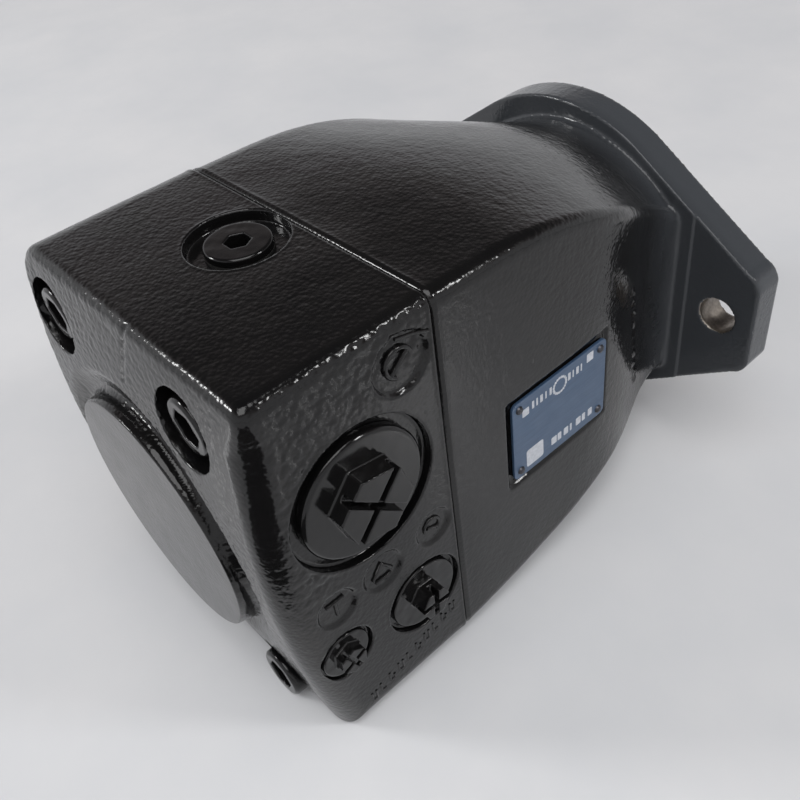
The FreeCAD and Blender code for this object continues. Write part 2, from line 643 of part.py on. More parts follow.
def make_name_plate():
    low = "block_right-plate_sink"
    body = new_body("name_plate_body")
    sketch = new_sketch(body, "plate_outline", SIDE, low)
    draw_outline(sketch, (("-plate_back", "-plate_foot"), ("-plate_front", "-plate_foot"),
                          ("-plate_front", "plate_top"), ("-plate_back", "plate_top")))
    extrude(body, "plate_pad", sketch, "plate_thick")
    holes = new_sketch(body, "rivet_outline", SIDE, f"{low}+plate_thick+1")
    for y, z in rivet_places():
        circle_on(holes, (y, z), "rivet_radius*0.6+0.02")
    extrude(body, "rivet_holes", holes, "plate_thick+3", cut=True)
    node("name_plate", body)
    rivets = []
    for i, (y, z) in enumerate(rivet_places()):
        corners = (("0", "-4"), ("rivet_radius*0.6-0.01", "-4"),
                   ("rivet_radius*0.6-0.01", "plate_thick"), ("rivet_radius", "plate_thick"),
                   ("rivet_radius*0.8", "plate_thick+0.6"), ("rivet_radius*0.4", "plate_thick+0.9"),
                   ("0", "plate_thick+0.9"))
        rivet = turned(f"rivet_{i + 1}", corners)
        rivets.append(place(rivet, (low, y, z), Z_AXIS, "-90"))
    node("name_plate_rivets", grouped("rivet_set", rivets))


# ---------------------------------------------------------------- seal and bearings
def make_shaft_seal():
    low, high = "seal_face-seal_length", "seal_face"
    corners = (("seal_radius-0.08", low), ("seal_radius-0.08", high), ("17", high),
               ("17", f"{high}-1.6"), ("20.5", f"{high}-1.6"), ("20.5", f"{low}+3.4"),
               ("16.5", f"{low}+2.2"), ("journal_seal_radius+0.03", f"{low}+3"),
               ("16", f"{low}+0.6"), ("21.2", f"{low}"))
    node("shaft_seal", turned("shaft_seal_ring", corners))
    clip = ring("seal_clip_ring", "seal_radius-3", "seal_radius+1.4", f"{high}+0.1",
                f"{high}+0.1+clip_thick", "335")
    node("seal_retaining_ring", place(clip, ("0", "0", "0"), Y_AXIS, "12"))


BEARINGS = {
    # middle, direction in which it widens, mean radius, cone bore, cup radius, cup ends,
    # cone ends, roller half angle, roller length, number of rollers
    "front": {"middle": "-front_bearing_y", "widens": -1, "mean": 23,
              "bore": "journal_front_radius", "cup": "front_cup_radius",
              "cup_ends": ("cup_shoulder-front_bearing_y", 5.4),
              "cone_ends": (-6.35, "front_cone_reach"),
              "half_angle": 1.8, "roller": 9.4, "count": 16, "ribs": (1.0, 2.0)},
    "rear": {"middle": "-rear_bearing_y", "widens": 1, "mean": 17,
             "bore": "journal_rear_radius", "cup": "rear_cup_radius",
             "cup_ends": ("-rear_cup_reach", 5.6), "cone_ends": (-5.6, "rear_cone_reach"),
             "half_angle": 2.0, "roller": 8.0, "count": 15, "ribs": (0.9, 1.8)},
}
ROLLER_TILT = 12


def make_bearing(name, b):
    """A tapered roller bearing. Every taper has its apex at one point on the shaft axis."""
    apex = f"({b['mean']}/tan({ROLLER_TILT}))"

    def along(step):
        return f"({b['middle']}+({b['widens']})*({step}))"

    def race(step, turn):
        return f"({apex}+({step}))*tan({ROLLER_TILT}+({turn}))"

    low, high = b["cup_ends"]
    wide = b["half_angle"]
    cup = turned(f"{name}_cup_ring", ((b["cup"], along(low)), (b["cup"], along(high)),
                                      (race(high, wide), along(high)),
                                      (race(low, wide), along(low))))
    node(f"{name}_bearing_cup", cup)

    low, high = b["cone_ends"]
    small, large = b["ribs"]
    half = b["roller"] / 2
    middle_radius = f"{b['mean']}/sin({ROLLER_TILT})*tan({wide})"
    foot = half + 0.15
    rib = f"({half}*cos({ROLLER_TILT})+({middle_radius}+{half}*tan({wide}))*sin({ROLLER_TILT})+0.1)"
    corners = ((b["bore"], along(low)), (b["bore"], along(high)),
               (f"{race(rib, -wide)}+{large}", along(high)),
               (f"{race(rib, -wide)}+{large}", along(rib)),
               (race(rib, -wide), along(rib)), (race(-foot, -wide), along(-foot)),
               (f"{race(-foot, -wide)}+{small}", along(-foot)),
               (f"{race(-foot, -wide)}+{small}", along(low)))
    node(f"{name}_bearing_cone", turned(f"{name}_cone_ring", corners))

    rollers, pockets = [], []
    for i in range(b["count"]):
        for kind, grow, store in (("roller", -0.02, rollers), ("pocket", 0.16, pockets)):
            cone = doc.addObject("Part::Cone", f"{name}_{kind}_{i + 1}")
            length = 2 * (half + max(grow, 0))
            slope = f"{half + max(grow, 0)}*tan({wide})"
            bind(cone, Radius1=f"{middle_radius}-{slope}+({grow})",
                 Radius2=f"{middle_radius}+{slope}+({grow})", Height=f"{length}")
            start = V(b["mean"], 0, 0) - tilted(b) * (length / 2)
            turn = FreeCAD.Rotation(Y_AXIS, 360 * i / b["count"])
            cone.Placement = FreeCAD.Placement(
                turn.multVec(start) + V(0, value(b["middle"]), 0),
                turn.multiply(FreeCAD.Rotation(Z_AXIS, tilted(b))))
            store.append(cone)
    node(f"{name}_bearing_rollers", grouped(f"{name}_roller_set", rollers))

    reach = half + 1.1
    slope = f"tan({ROLLER_TILT})"
    band = turned(f"{name}_cage_band", (
        (f"{b['mean']}-{reach}*{slope}-0.55", along(-reach)),
        (f"{b['mean']}-{reach}*{slope}+0.55", along(-reach)),
        (f"{b['mean']}+{reach}*{slope}+0.55", along(reach)),
        (f"{b['mean']}+{reach}*{slope}-0.55", along(reach))))
    node(f"{name}_bearing_cage", carved(f"{name}_cage_pressed", band, pockets))


def tilted(b):
    """The direction of the roller in the plane z = 0, from its small end to its large end."""
    turn = FreeCAD.Rotation(Z_AXIS, -ROLLER_TILT * b["widens"])
    return turn.multVec(V(0, b["widens"], 0))


def make_shim():
    node("bearing_shim", ring("shim_ring", "18.5", "rear_cup_radius-0.05",
                              f"{SEAM}-rear_pocket", "-rear_bearing_y-rear_cup_reach"))


# ---------------------------------------------------------------- rotating group
BALL_CIRCLE = "(2*piston_circle/(1+cos(swash_angle)))"
PISTONS = 9


def make_shaft():
    spline_front, spline_rear = "-block_front+0.4", "-web_end+2"
    front_cone_back = "-front_bearing_y-front_cone_reach"
    rear_cone_face = "-rear_bearing_y+rear_cone_reach"
    corners = (("0", "-shaft_rear"), ("journal_rear_radius-1", "-shaft_rear"),
               ("journal_rear_radius-0.01", "-shaft_rear+1"),
               ("journal_rear_radius-0.01", rear_cone_face),
               ("waist_radius", rear_cone_face), ("waist_radius", spline_rear),
               ("spline_root", spline_rear), ("spline_root", spline_front),
               ("journal_front_radius", spline_front),
               ("journal_front_radius", "-chamber_front"), ("collar_radius", "-chamber_front"),
               ("collar_radius", front_cone_back), ("journal_front_radius-0.01", front_cone_back),
               ("journal_front_radius-0.01", "-13"), ("journal_seal_radius", "-12"),
               ("journal_seal_radius", "pilot_height"), ("stub_radius", "pilot_height"),
               ("stub_radius", "shaft_end-1.5"), ("stub_radius-1.5", "shaft_end"),
               ("0", "shaft_end"))
    body = turned("drive_shaft_body", corners)
    keyway = new_sketch(body, "keyway_outline", SIDE, "stub_radius-key_depth")
    start = "shaft_end-2-key_length"
    draw_outline(keyway, ((start, "-key_width/2"), ("shaft_end+1", "-key_width/2"),
                          ("shaft_end+1", "key_width/2"), (start, "key_width/2")))
    extrude(body, "keyway", keyway, "key_depth+3", cut=True, flip=True)
    tooth = new_sketch(body, "tooth_outline", PLAN, "-(-web_end+2)")
    draw_outline(tooth, (("spline_root-1", "-spline_tooth/2"), ("spline_tip", "-spline_tooth/2"),
                         ("spline_tip", "spline_tooth/2"), ("spline_root-1", "spline_tooth/2")))
    pad = extrude(body, "tooth", tooth, "web_end-block_front-4", flip=True)
    repeat(body, "teeth", pad, 12)
    node("drive_shaft", body)


def make_barrel():
    rear = f"{SEAM}+valve_thick+film"
    body = new_body("cylinder_block_body")
    revolve(body, "barrel", (
        ("spline_root+0.05", "-web_end"), ("spring_chamber_radius", "-web_end"),
        ("spring_chamber_radius", rear), ("barrel_radius-2", rear),
        ("barrel_radius-2", f"{rear}+6"), ("barrel_radius", f"{rear}+8"),
        ("barrel_radius", "-block_front-1"), ("barrel_radius-1", "-block_front"),
        ("spline_root+0.05", "-block_front")))
    bore = circle_on(new_sketch(body, "bore_outline", PLAN, "block_front-1"),
                     ("piston_circle", "0"), "bore_radius")
    cut = extrude(body, "bore", bore, "bore_bottom-block_front+1", cut=True, flip=True)
    repeat(body, "bores", cut, PISTONS)
    kidney = circle_on(new_sketch(body, "kidney_outline", PLAN, "bore_bottom-1"),
                       ("piston_circle", "0"), "kidney_radius")
    cut = extrude(body, "kidney", kidney, "30", cut=True, flip=True)
    repeat(body, "kidneys", cut, PISTONS)
    slot = new_sketch(body, "slot_outline", PLAN, "block_front-1")
    draw_outline(slot, (("spline_root-1", "-spline_tooth/2-0.03"),
                        ("spline_tip+0.05", "-spline_tooth/2-0.03"),
                        ("spline_tip+0.05", "spline_tooth/2+0.03"),
                        ("spline_root-1", "spline_tooth/2+0.03")))
    cut = extrude(body, "slot", slot, "web_end-block_front+2", cut=True, flip=True)
    repeat(body, "slots", cut, 12)
    pin = circle_on(new_sketch(body, "pin_hole_outline", PLAN, "block_front-1"),
                    ("push_pin_circle*cos(15)", "push_pin_circle*sin(15)"),
                    "push_pin_radius+0.05")
    cut = extrude(body, "pin_hole", pin, "web_end-block_front+2", cut=True, flip=True)
    repeat(body, "pin_holes", cut, 3)
    low = "-bore_bottom-4"
    revolve(body, "clip_seat", (("spring_chamber_radius-1", low),
                                ("spring_chamber_radius+1.2", low),
                                ("spring_chamber_radius+1.2", f"{low}+2"),
                                ("spring_chamber_radius-1", f"{low}+2")), cut=True)
    node("cylinder_block", body)


def make_centre_spring():
    clip_high = "-bore_bottom-2.05"
    washer_outer = "spring_chamber_radius-0.1"
    node("spring_washer_front", ring("washer_front_ring", "waist_radius+0.4", washer_outer,
                                     "-web_end-washer_thick", "-web_end"))
    node("spring_washer_rear", ring("washer_rear_ring", "waist_radius+0.4", washer_outer,
                                    clip_high, f"{clip_high}+washer_thick"))
    clip = ring("spring_clip_ring", "spring_chamber_radius-3.2", "spring_chamber_radius+1.1",
                f"{clip_high}-1.85", clip_high, "330")
    node("spring_clip", clip)

    rear = f"{clip_high}+washer_thick+spring_wire+0.02"
    rise = f"((-web_end-washer_thick-spring_wire-0.02)-({rear}))"
    body = new_body("spring_body")
    wire = circle_on(new_sketch(body, "spring_wire_outline", AXIAL), ("spring_radius", rear),
                     "spring_wire")
    coil = body.newObject("PartDesign::AdditiveHelix", "spring_coil")
    coil.Profile = wire
    coil.ReferenceAxis = (wire, ["V_Axis"])
    coil.Mode = 0
    bind(coil, Pitch=f"{rise}/spring_turns", Height=rise)
    node("block_spring", body)

    pins = []
    for i in range(3):
        turn = 120 * i + 15
        pins.append(cylinder(f"push_pin_{i + 1}", "push_pin_radius",
                             "web_end-tilt_centre-centre_ball_rear-0.06",
                             (f"push_pin_circle*cos({turn})", "-web_end+0.02",
                              f"push_pin_circle*sin({turn})")))
    node("push_pins", grouped("push_pin_set", pins))


def make_centre_ball():
    """The half ball that presses the retaining plate. Its centre is the tilt centre."""
    sphere = doc.addObject("Part::Sphere", "half_ball_sphere")
    bind(sphere, Radius="centre_ball_radius")
    place(sphere, ("0", "-tilt_centre", "0"))
    zone = cylinder("half_ball_zone", "centre_ball_radius+1", "centre_ball_front",
                    ("0", "-tilt_centre", "0"))
    front = doc.addObject("Part::Common", "half_ball_front")
    front.Base, front.Tool = sphere, zone
    skirt = cylinder("half_ball_skirt", "centre_ball_radius", "centre_ball_rear",
                     ("0", "-tilt_centre-centre_ball_rear", "0"))
    bore = cylinder("half_ball_bore", "journal_front_radius+0.04", "40",
                    ("0", "-tilt_centre-20", "0"))
    node("retaining_ball", carved("half_ball", fused("half_ball_solid", [front, skirt]), [bore]))


def on_tilt(body, across="0", up="0"):
    """Places a body made about the tilt centre, along the swash plate's normal."""
    at = (across, f"-tilt_centre-({up})*sin(swash_angle)", f"({up})*cos(swash_angle)")
    return place(body, at, X_AXIS, "swash_angle")


def make_retaining_plate():
    high = "sole_height-sole_thick-0.02"
    low = f"{high}-retainer_thick"
    body = new_body("retaining_plate_body")
    revolve(body, "retainer_disc", (("12", low), ("retainer_radius", low),
                                    ("retainer_radius", high), ("12", high)))
    hole = circle_on(new_sketch(body, "retainer_hole_outline", PLAN, f"-({high})-1"),
                     (BALL_CIRCLE, "0"), "retainer_hole")
    cut = extrude(body, "retainer_hole_cut", hole, "retainer_thick+3", cut=True, flip=True)
    repeat(body, "retainer_holes", cut, PISTONS)
    doc.recompute()
    seat = body.newObject("PartDesign::SubtractiveSphere", "retainer_seat")
    bind(seat, Radius="centre_ball_radius+centre_ball_gap")
    node("retaining_plate", on_tilt(body))


def make_slipper(i):
    corners = (("0.6", "-slipper_lip"), ("slipper_neck_radius", "-slipper_lip"),
               ("slipper_neck_radius", "sole_height-sole_thick"),
               ("sole_radius", "sole_height-sole_thick"), ("sole_radius", "sole_height"),
               ("5", "sole_height"), ("5", "sole_height-0.6"), ("0.6", "sole_height-0.6"))
    body = new_body(f"slipper_body_{i + 1}")
    revolve(body, f"slipper_turn_{i + 1}", corners)
    doc.recompute()
    socket = body.newObject("PartDesign::SubtractiveSphere", f"slipper_socket_{i + 1}")
    bind(socket, Radius="ball_radius+ball_gap")
    across, up = ball_place(i)
    node(f"slipper_{i + 1}", on_tilt(body, across, up))


def ball_place(i):
    turn = 360 / PISTONS * i
    return f"{BALL_CIRCLE}*cos({turn})", f"{BALL_CIRCLE}*sin({turn})"


def make_piston(i):
    """A piston whose ball centre is its origin. It always points along -Y."""
    body = new_body(f"piston_body_{i + 1}")
    ball = body.newObject("PartDesign::AdditiveSphere", f"piston_ball_{i + 1}")
    bind(ball, Radius="ball_radius")
    doc.recompute()
    end = "-10.5-piston_length"
    revolve(body, f"piston_turn_{i + 1}", (
        ("1", "-3"), ("piston_neck", "-3"), ("piston_neck", "-7.5"), ("piston_radius", "-10.5"),
        ("piston_radius", f"{end}+0.8"), ("piston_radius-0.8", end), ("piston_hollow", end),
        ("piston_hollow", "-18"), ("1", "-20.5")))
    revolve(body, f"oil_hole_{i + 1}", (("0", "-21"), ("1", "-21"), ("1", "7"), ("0", "7")),
            cut=True)
    across, up = ball_place(i)
    place(body, (across, f"-tilt_centre-({up})*sin(swash_angle)", f"({up})*cos(swash_angle)"))
    node(f"piston_{i + 1}", body)


def make_swash_plate():
    blank = cylinder("swash_blank", "swash_radius", "40", ("0", "-chamber_front-40", "0"))
    bore = cylinder("swash_bore_tool", "swash_bore", "60", ("0", "-chamber_front-50", "0"))
    slope = doc.addObject("Part::Box", "swash_slope_tool")
    bind(slope, Length="120", Width="60", Height="160")
    face = "(sole_height+film)"
    turned_corner = ("-60", f"-tilt_centre+({face}-60)*cos(swash_angle)+80*sin(swash_angle)",
                     f"({face}-60)*sin(swash_angle)-80*cos(swash_angle)")
    place(slope, turned_corner, X_AXIS, "swash_angle")
    pins = [cylinder(f"swash_pin_hole_{i + 1}", "3", "6", (x, "-chamber_front-5", "0"))
            for i, x in enumerate(SWASH_PINS)]
    node("swash_plate", carved("swash_wedge", blank, [bore, slope] + pins))
    pins = [cylinder(f"swash_pin_{i + 1}", "2.99", "9.6", (x, "-chamber_front-4.8", "0"))
            for i, x in enumerate(SWASH_PINS)]
    node("swash_plate_pins", grouped("swash_pin_set", pins))


def make_valve_plate():
    disc = ring("valve_disc", "14", "43", SEAM, f"{SEAM}+valve_thick")
    slots = [ring_sector(f"valve_slot_{side}", "35", "27", "valve_thick+2", start, f"{SEAM}-1")
             for side, start in (("right", "-60"), ("left", "120"))]
    hole = cylinder("valve_pin_seat", "2", "3.6", ("0", f"{SEAM}-1", "38.5"))
    node("valve_plate", carved("valve_plate_lapped", disc, slots + [hole]))
    node("valve_plate_pin", cylinder("valve_pin", "1.98", "8.4", ("0", f"{SEAM}-6", "38.5")))


# ---------------------------------------------------------------- build, check and write
def check_document():
    for thing in doc.Objects:
        if any(mark in thing.State for mark in ("Invalid", "Error")):
            raise RuntimeError(f"{thing.Name} did not build: {thing.State}")
    for label, thing in nodes.items():
        shape = thing.Shape
        if shape.isNull() or not shape.isValid() or shape.Volume <= 0 or not shape.Solids:
            raise RuntimeError(f"{label} has no valid solid")


def main():
    make_housing()
    make_port_plate()
    make_screws()
    make_plugs()
    make_name_plate()
    make_shaft_seal()
    for name, sizes in BEARINGS.items():
        make_bearing(name, sizes)
    make_shim()
    make_shaft()
    make_barrel()
    make_centre_spring()
    make_centre_ball()
    make_retaining_plate()
    make_swash_plate()
    make_valve_plate()
    for i in range(PISTONS):
        make_slipper(i)
        make_piston(i)
    doc.recompute()
    check_document()
    os.makedirs("parts", exist_ok=True)
    for label, thing in nodes.items():
        thing.Shape.exportStep(f"parts/{label}.step")
        print(label, len(thing.Shape.Solids), round(thing.Shape.Volume / 1000, 2), "cm3")


main()
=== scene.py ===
"""Looks for the axial-piston hydraulic motor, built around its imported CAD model.

Frame: +Y is the drive end, +Z is up, +X is the side with the name plate. Blender works in
metres; sizes below are in millimetres and pass through MM where they reach Blender.
"""
import json
import math

import bmesh
import bpy
import numpy as np
from mathutils import Matrix, Vector


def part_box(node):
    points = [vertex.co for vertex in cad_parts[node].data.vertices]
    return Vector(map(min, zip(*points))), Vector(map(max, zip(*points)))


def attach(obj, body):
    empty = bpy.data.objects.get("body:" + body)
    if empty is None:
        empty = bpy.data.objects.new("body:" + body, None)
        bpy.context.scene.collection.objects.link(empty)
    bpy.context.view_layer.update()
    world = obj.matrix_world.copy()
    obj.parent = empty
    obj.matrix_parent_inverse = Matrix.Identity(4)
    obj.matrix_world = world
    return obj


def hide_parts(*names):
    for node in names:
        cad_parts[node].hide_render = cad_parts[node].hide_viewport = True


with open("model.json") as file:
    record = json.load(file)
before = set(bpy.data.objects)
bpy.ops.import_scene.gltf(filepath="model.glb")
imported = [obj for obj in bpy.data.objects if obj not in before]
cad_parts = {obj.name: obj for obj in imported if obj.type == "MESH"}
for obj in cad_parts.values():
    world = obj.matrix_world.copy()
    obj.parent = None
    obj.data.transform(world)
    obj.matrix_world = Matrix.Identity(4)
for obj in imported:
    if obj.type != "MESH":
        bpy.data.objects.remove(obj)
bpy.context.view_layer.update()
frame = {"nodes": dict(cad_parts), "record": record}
MM = 0.001
scene = bpy.context.scene


# ---------------------------------------------------------------- places from the frame
def corners_mm(node):
    """Lowest and highest corner of a CAD node, in millimetres."""
    low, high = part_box(node)
    return np.array(low) / MM, np.array(high) / MM


def middle_mm(node):
    low, high = corners_mm(node)
    return (low + high) / 2


BLOCK_LOW, BLOCK_HIGH = corners_mm("port_plate")
BLOCK_MIDDLE = (BLOCK_LOW + BLOCK_HIGH) / 2
HOUSING_LOW = corners_mm("housing")[0]
SEAM_Y = BLOCK_HIGH[1]
BOSS_Y = BLOCK_LOW[1]
BOSS_RADIUS = 42.0
BOSS_STANDS_OUT = 6        # about how far the boss reaches past the rear face's upper part
PORT = middle_mm("service_port_plug_right")
PORT_LEFT = middle_mm("service_port_plug_left")
GAUGE = middle_mm("gauge_port_plug")
BLEED = middle_mm("bleed_port_plug")
DRAIN_TOP = middle_mm("top_drain_plug")
DRAIN_BOTTOM = middle_mm("bottom_drain_plug")
PLATE_LOW, PLATE_HIGH = corners_mm("name_plate")
MOUNTS = {mount["name"]: mount["dims"] for mount in frame["record"]["mounts"]}
BOLT_X = MOUNTS["flange_bolts"]["spacing_x_mm"] / 2
BOLT_HOLE_REACH = 7.3      # the hole's radius and a little over
FLANGE_THICK = 13.0

# machined circles that stay smooth: centre, axis, radius, side of the block
MACHINED = ((PORT, 0, 24.6, 1), (PORT_LEFT, 0, 24.6, -1), (DRAIN_TOP, 2, 15.8, 1),
            (DRAIN_BOTTOM, 2, 15.8, -1), (GAUGE, 0, 14.9, 1), (BLEED, 0, 10.2, 1))
# shallow round pads on the right face: place along Y, height, radius, depth
PADS = ((-151.9, 64.2, 9.0, 1.6), (-149.1, -1.5, 6.5, 1.1), (-169.6, -3.5, 7.0, 1.1),
        (-187.0, -4.0, 6.6, 1.1))
# the crowned rear face: its place at the top and bottom, and its bulge between
REAR_TOP_Y, REAR_BOTTOM_Y, REAR_BULGE = -198.0, -194.0, 7.4
# the upright rear right edge: its radius at the top, and what is added lower down
EDGE_RADIUS, EDGE_WIDENING = 4, 5
EDGE_SMOOTHING = 0.75      # how much of the cast grain the paint hides on that edge
# the moat round the rear boss, and the crease above it on the rear face: (along X, height)
MOAT_DEPTH, MOAT_RADIUS = 3.2, 53
CREASE_START, CREASE_END, CREASE_DEPTH, CREASE_WIDTH = (15, 79), (6.5, 57.7), 0.35, 0.8
# the sunk frame round the name plate
PLATE_FRAME, PLATE_FRAME_DEPTH = 2.0, 1.1
SEAM_HALF_WIDTH, SEAM_DEPTH = 0.75, 0.7
# two rows of small cast marks beside the flange: first and last (along Y, height), count
MARK_ROWS = (((-47, 24), (-37, -23), 10), ((-27, 12), (-19, -14), 6))
MARK_HEIGHT = 0.7
# the row of marks low on the block's right face: first (along Y, height), reach, count
ROW_START, ROW_REACH, ROW_COUNT = (-146.0, -45.5), (-36.5, -11.5), 10
# plain print on the name plate: along Y from and to, height from and to, corner radius
PRINT_BLOCKS = (
    (-109.0, -106.0, 14.6, 17.6, 0.3), (-78.4, -75.2, 17.0, 20.4, 0.3),
    (-104.6, -103.6, 15.4, 18.4, 0.2), (-102.6, -101.9, 15.4, 18.4, 0.2),
    (-100.8, -99.6, 15.4, 18.4, 0.2), (-98.4, -97.8, 15.4, 18.4, 0.2),
    (-96.4, -95.4, 15.4, 18.4, 0.2), (-87.6, -86.4, 15.6, 18.6, 0.2),
    (-85.4, -84.8, 15.6, 18.6, 0.2), (-83.6, -82.4, 15.6, 18.6, 0.2),
    (-81.4, -80.8, 15.6, 18.6, 0.2), (-107.6, -99.6, -8.6, -1.2, 0.9))
PRINT_BARS = (2.6, 1.8, 2.2, 0.9, 2.4, 1.6, 2.0)
PRINT_LIFT = 0.05
# the dark sheet of painted shade on the floor behind the rear right edge, as (X, Y)
PAINTED_SHADE_CORNERS = ((31, -299), (155, -440), (300, -320), (171, -199), (102, -249))
PAINTED_SHADE_LIFT = 3
FLOOR_HALF = 6000.0
FLOOR_GAP = 0.1


# ---------------------------------------------------------------- camera, stage and light
CAMERA_LENS = 39.957
CAMERA_PLACE = (203.88, -254.01, 205.72)
CAMERA_AHEAD = (-0.60186, 0.43881, -0.66724)
CAMERA_UP = (-0.44107, 0.51387, 0.73579)
BODY_MIDDLE = (0, -100, 0)


def add_camera():
    """A camera above the rear right corner that looks down along the motor."""
    data = bpy.data.cameras.new("camera")
    data.sensor_width = 36.0
    data.lens = CAMERA_LENS
    camera = bpy.data.objects.new("camera", data)
    scene.collection.objects.link(camera)
    place = Vector(CAMERA_PLACE) * MM
    ahead = Vector(CAMERA_AHEAD).normalized()
    right = ahead.cross(Vector(CAMERA_UP)).normalized()
    up = right.cross(ahead)
    turn = Matrix((right, up, -ahead)).transposed()
    camera.matrix_world = Matrix.Translation(place) @ turn.to_4x4()
    scene.camera = camera


def add_area_light(name, direction, distance, size, power):
    """A square lamp at a distance in metres from the body's middle, turned towards it."""
    data = bpy.data.lights.new(name, "AREA")
    data.shape = "SQUARE"
    data.size = size
    data.energy = power
    lamp = bpy.data.objects.new(name, data)
    scene.collection.objects.link(lamp)
    aim = Vector(direction).normalized()
    lamp.location = Vector(BODY_MIDDLE) * MM + aim * distance
    lamp.rotation_euler = aim.to_track_quat("Z", "Y").to_euler()


def flat_piece(name, corners, height, material):
    """A level sheet of the stage that faces up, from (X, Y) corners in millimetres."""
    mesh = bpy.data.meshes.new(name)
    mesh.from_pydata([(x * MM, y * MM, height * MM) for x, y in corners], [],
                     [tuple(range(len(corners)))])
    mesh.materials.append(material)
    piece = bpy.data.objects.new(name, mesh)
    scene.collection.objects.link(piece)
    return piece


def add_stage():
    """A pale floor for every view, and a dark sheet of painted shade that only reflections see."""
    floor_z = HOUSING_LOW[2] - FLOOR_GAP
    half = FLOOR_HALF
    floor = flat_piece("floor", ((-half, -half), (half, -half), (half, half), (-half, half)),
                       floor_z, floor_material())
    # painted shade: a dark sheet that darkens what the rear right edge reflects
    shade_sheet = flat_piece("painted_shade_sheet", PAINTED_SHADE_CORNERS, floor_z + PAINTED_SHADE_LIFT, painted_shade_material())
    shade_sheet.visible_camera = shade_sheet.visible_diffuse = shade_sheet.visible_shadow = False


def add_light():
    """Two small lamps that spark on the block's edges, a wide soft one and a dim room."""
    add_area_light("edge_lamp_rear", (-0.60, -0.60, 0.50), 1.6, 0.28, 7)
    add_area_light("edge_lamp_side", (0.65, 0.44, 0.58), 1.8, 0.28, 7)
    add_area_light("soft_top", (0.30, -0.20, 0.93), 2.2, 1.8, 36)
    world = bpy.data.worlds.new("studio")
    scene.world = world
    world.use_nodes = True
    nodes, links = world.node_tree.nodes, world.node_tree.links
    background = nodes["Background"]
    place = nodes.new("ShaderNodeTexCoord")
    height = nodes.new("ShaderNodeVectorMath")
    height.operation = "DOT_PRODUCT"
    height.inputs[1].default_value = (0, 0.16, 1)
    links.new(place.outputs["Generated"], height.inputs[0])
    ramp = nodes.new("ShaderNodeValToRGB")
    fill_ramp(ramp, ((0.0, (0.85, 0.86, 0.88)), (0.40, (0.72, 0.72, 0.74)),
                     (0.53, (0.30, 0.27, 0.27)), (0.66, (0.07, 0.065, 0.065)),
                     (1.0, (0.04, 0.04, 0.045))))
    links.new(height.outputs["Value"], ramp.inputs[0])
    links.new(ramp.outputs[0], background.inputs["Color"])
    background.inputs["Strength"].default_value = 1.0
    scene.view_settings.view_transform = "Standard"


# ---------------------------------------------------------------- materials
def new_material(name, **settings):
    """A material with one Principled shader, whose sockets hold the given values."""
    material = bpy.data.materials.new(name)
    material.use_nodes = True
    shader = material.node_tree.nodes["Principled BSDF"]
    for socket, amount in settings.items():
        shader.inputs[socket.replace("_", " ")].default_value = amount
    return material, shader


def tool_nodes(material):
    """The node list and the link list of a material."""
    return material.node_tree.nodes, material.node_tree.links


def object_place(material, stretch=(1, 1, 1)):
    """Coordinates in the piece's own frame, which is the part's frame, scaled per axis."""
    nodes, links = tool_nodes(material)
    source = nodes.new("ShaderNodeTexCoord")
    mapping = nodes.new("ShaderNodeMapping")
    mapping.inputs["Scale"].default_value = stretch
    links.new(source.outputs["Object"], mapping.inputs["Vector"])
    return mapping.outputs["Vector"]


def add_noise(material, place, size_mm, detail, roughness=0.55):
    """A noise texture with lumps about size_mm across."""
    nodes, links = tool_nodes(material)
    noise = nodes.new("ShaderNodeTexNoise")
    noise.inputs["Scale"].default_value = 1 / (size_mm * MM)
    noise.inputs["Detail"].default_value = detail
    noise.inputs["Roughness"].default_value = roughness
    links.new(place, noise.inputs["Vector"])
    return noise.outputs["Fac"]


def fill_ramp(ramp, stops):
    """Gives a ramp node its (position, colour or grey) stops."""
    elements = ramp.color_ramp.elements
    while len(elements) < len(stops):
        elements.new(0.5)
    for element, (position, colour) in zip(elements, stops):
        element.position = position
        element.color = (*colour, 1) if hasattr(colour, "__len__") else (colour,) * 3 + (1,)


def add_ramp(material, source, stops):
    """A colour ramp over a source value."""
    nodes, links = tool_nodes(material)
    ramp = nodes.new("ShaderNodeValToRGB")
    fill_ramp(ramp, stops)
    links.new(source, ramp.inputs[0])
    return ramp.outputs["Color"]


def add_bump(material, shader, height, distance_mm, strength, below=None):
    """Bump on the shader from a height value, on top of the bump in below."""
    nodes, links = tool_nodes(material)
    bump = nodes.new("ShaderNodeBump")
    bump.inputs["Distance"].default_value = distance_mm * MM
    bump.inputs["Strength"].default_value = strength
    links.new(height, bump.inputs["Height"])
    if below is not None:
        links.new(below, bump.inputs["Normal"])
    links.new(bump.outputs["Normal"], shader.inputs["Normal"])
    return bump.outputs["Normal"]


def floor_material():
    material, shader = new_material("pale_floor", Roughness=0.22, Coat_Weight=0.0)
    nodes, links = tool_nodes(material)
    place = object_place(material)
    colour = add_ramp(material, add_noise(material, place, 90, 6), (
        (0.3, (0.64, 0.65, 0.67)), (0.7, (0.71, 0.71, 0.72))))
    links.new(colour, shader.inputs["Base Color"])
    add_bump(material, shader, add_noise(material, place, 25, 3), 0.06, 0.4)
    return material


def painted_shade_material():
    """Painted shade for reflections: matt black from above, and clear from below so that the floor
    doesn't mirror it.
    """
    material, shader = new_material("painted_shade_black", Roughness=0.9)
    nodes, links = tool_nodes(material)
    links.new(add_ramp(material, add_noise(material, object_place(material), 30, 3),
                       ((0.3, 0.006), (0.7, 0.014))), shader.inputs["Base Color"])
    side = nodes.new("ShaderNodeNewGeometry")
    front = nodes.new("ShaderNodeMath")
    front.operation = "SUBTRACT"
    front.inputs[0].default_value = 1.0
    links.new(side.outputs["Backfacing"], front.inputs[1])
    links.new(front.outputs[0], shader.inputs["Alpha"])
    return material


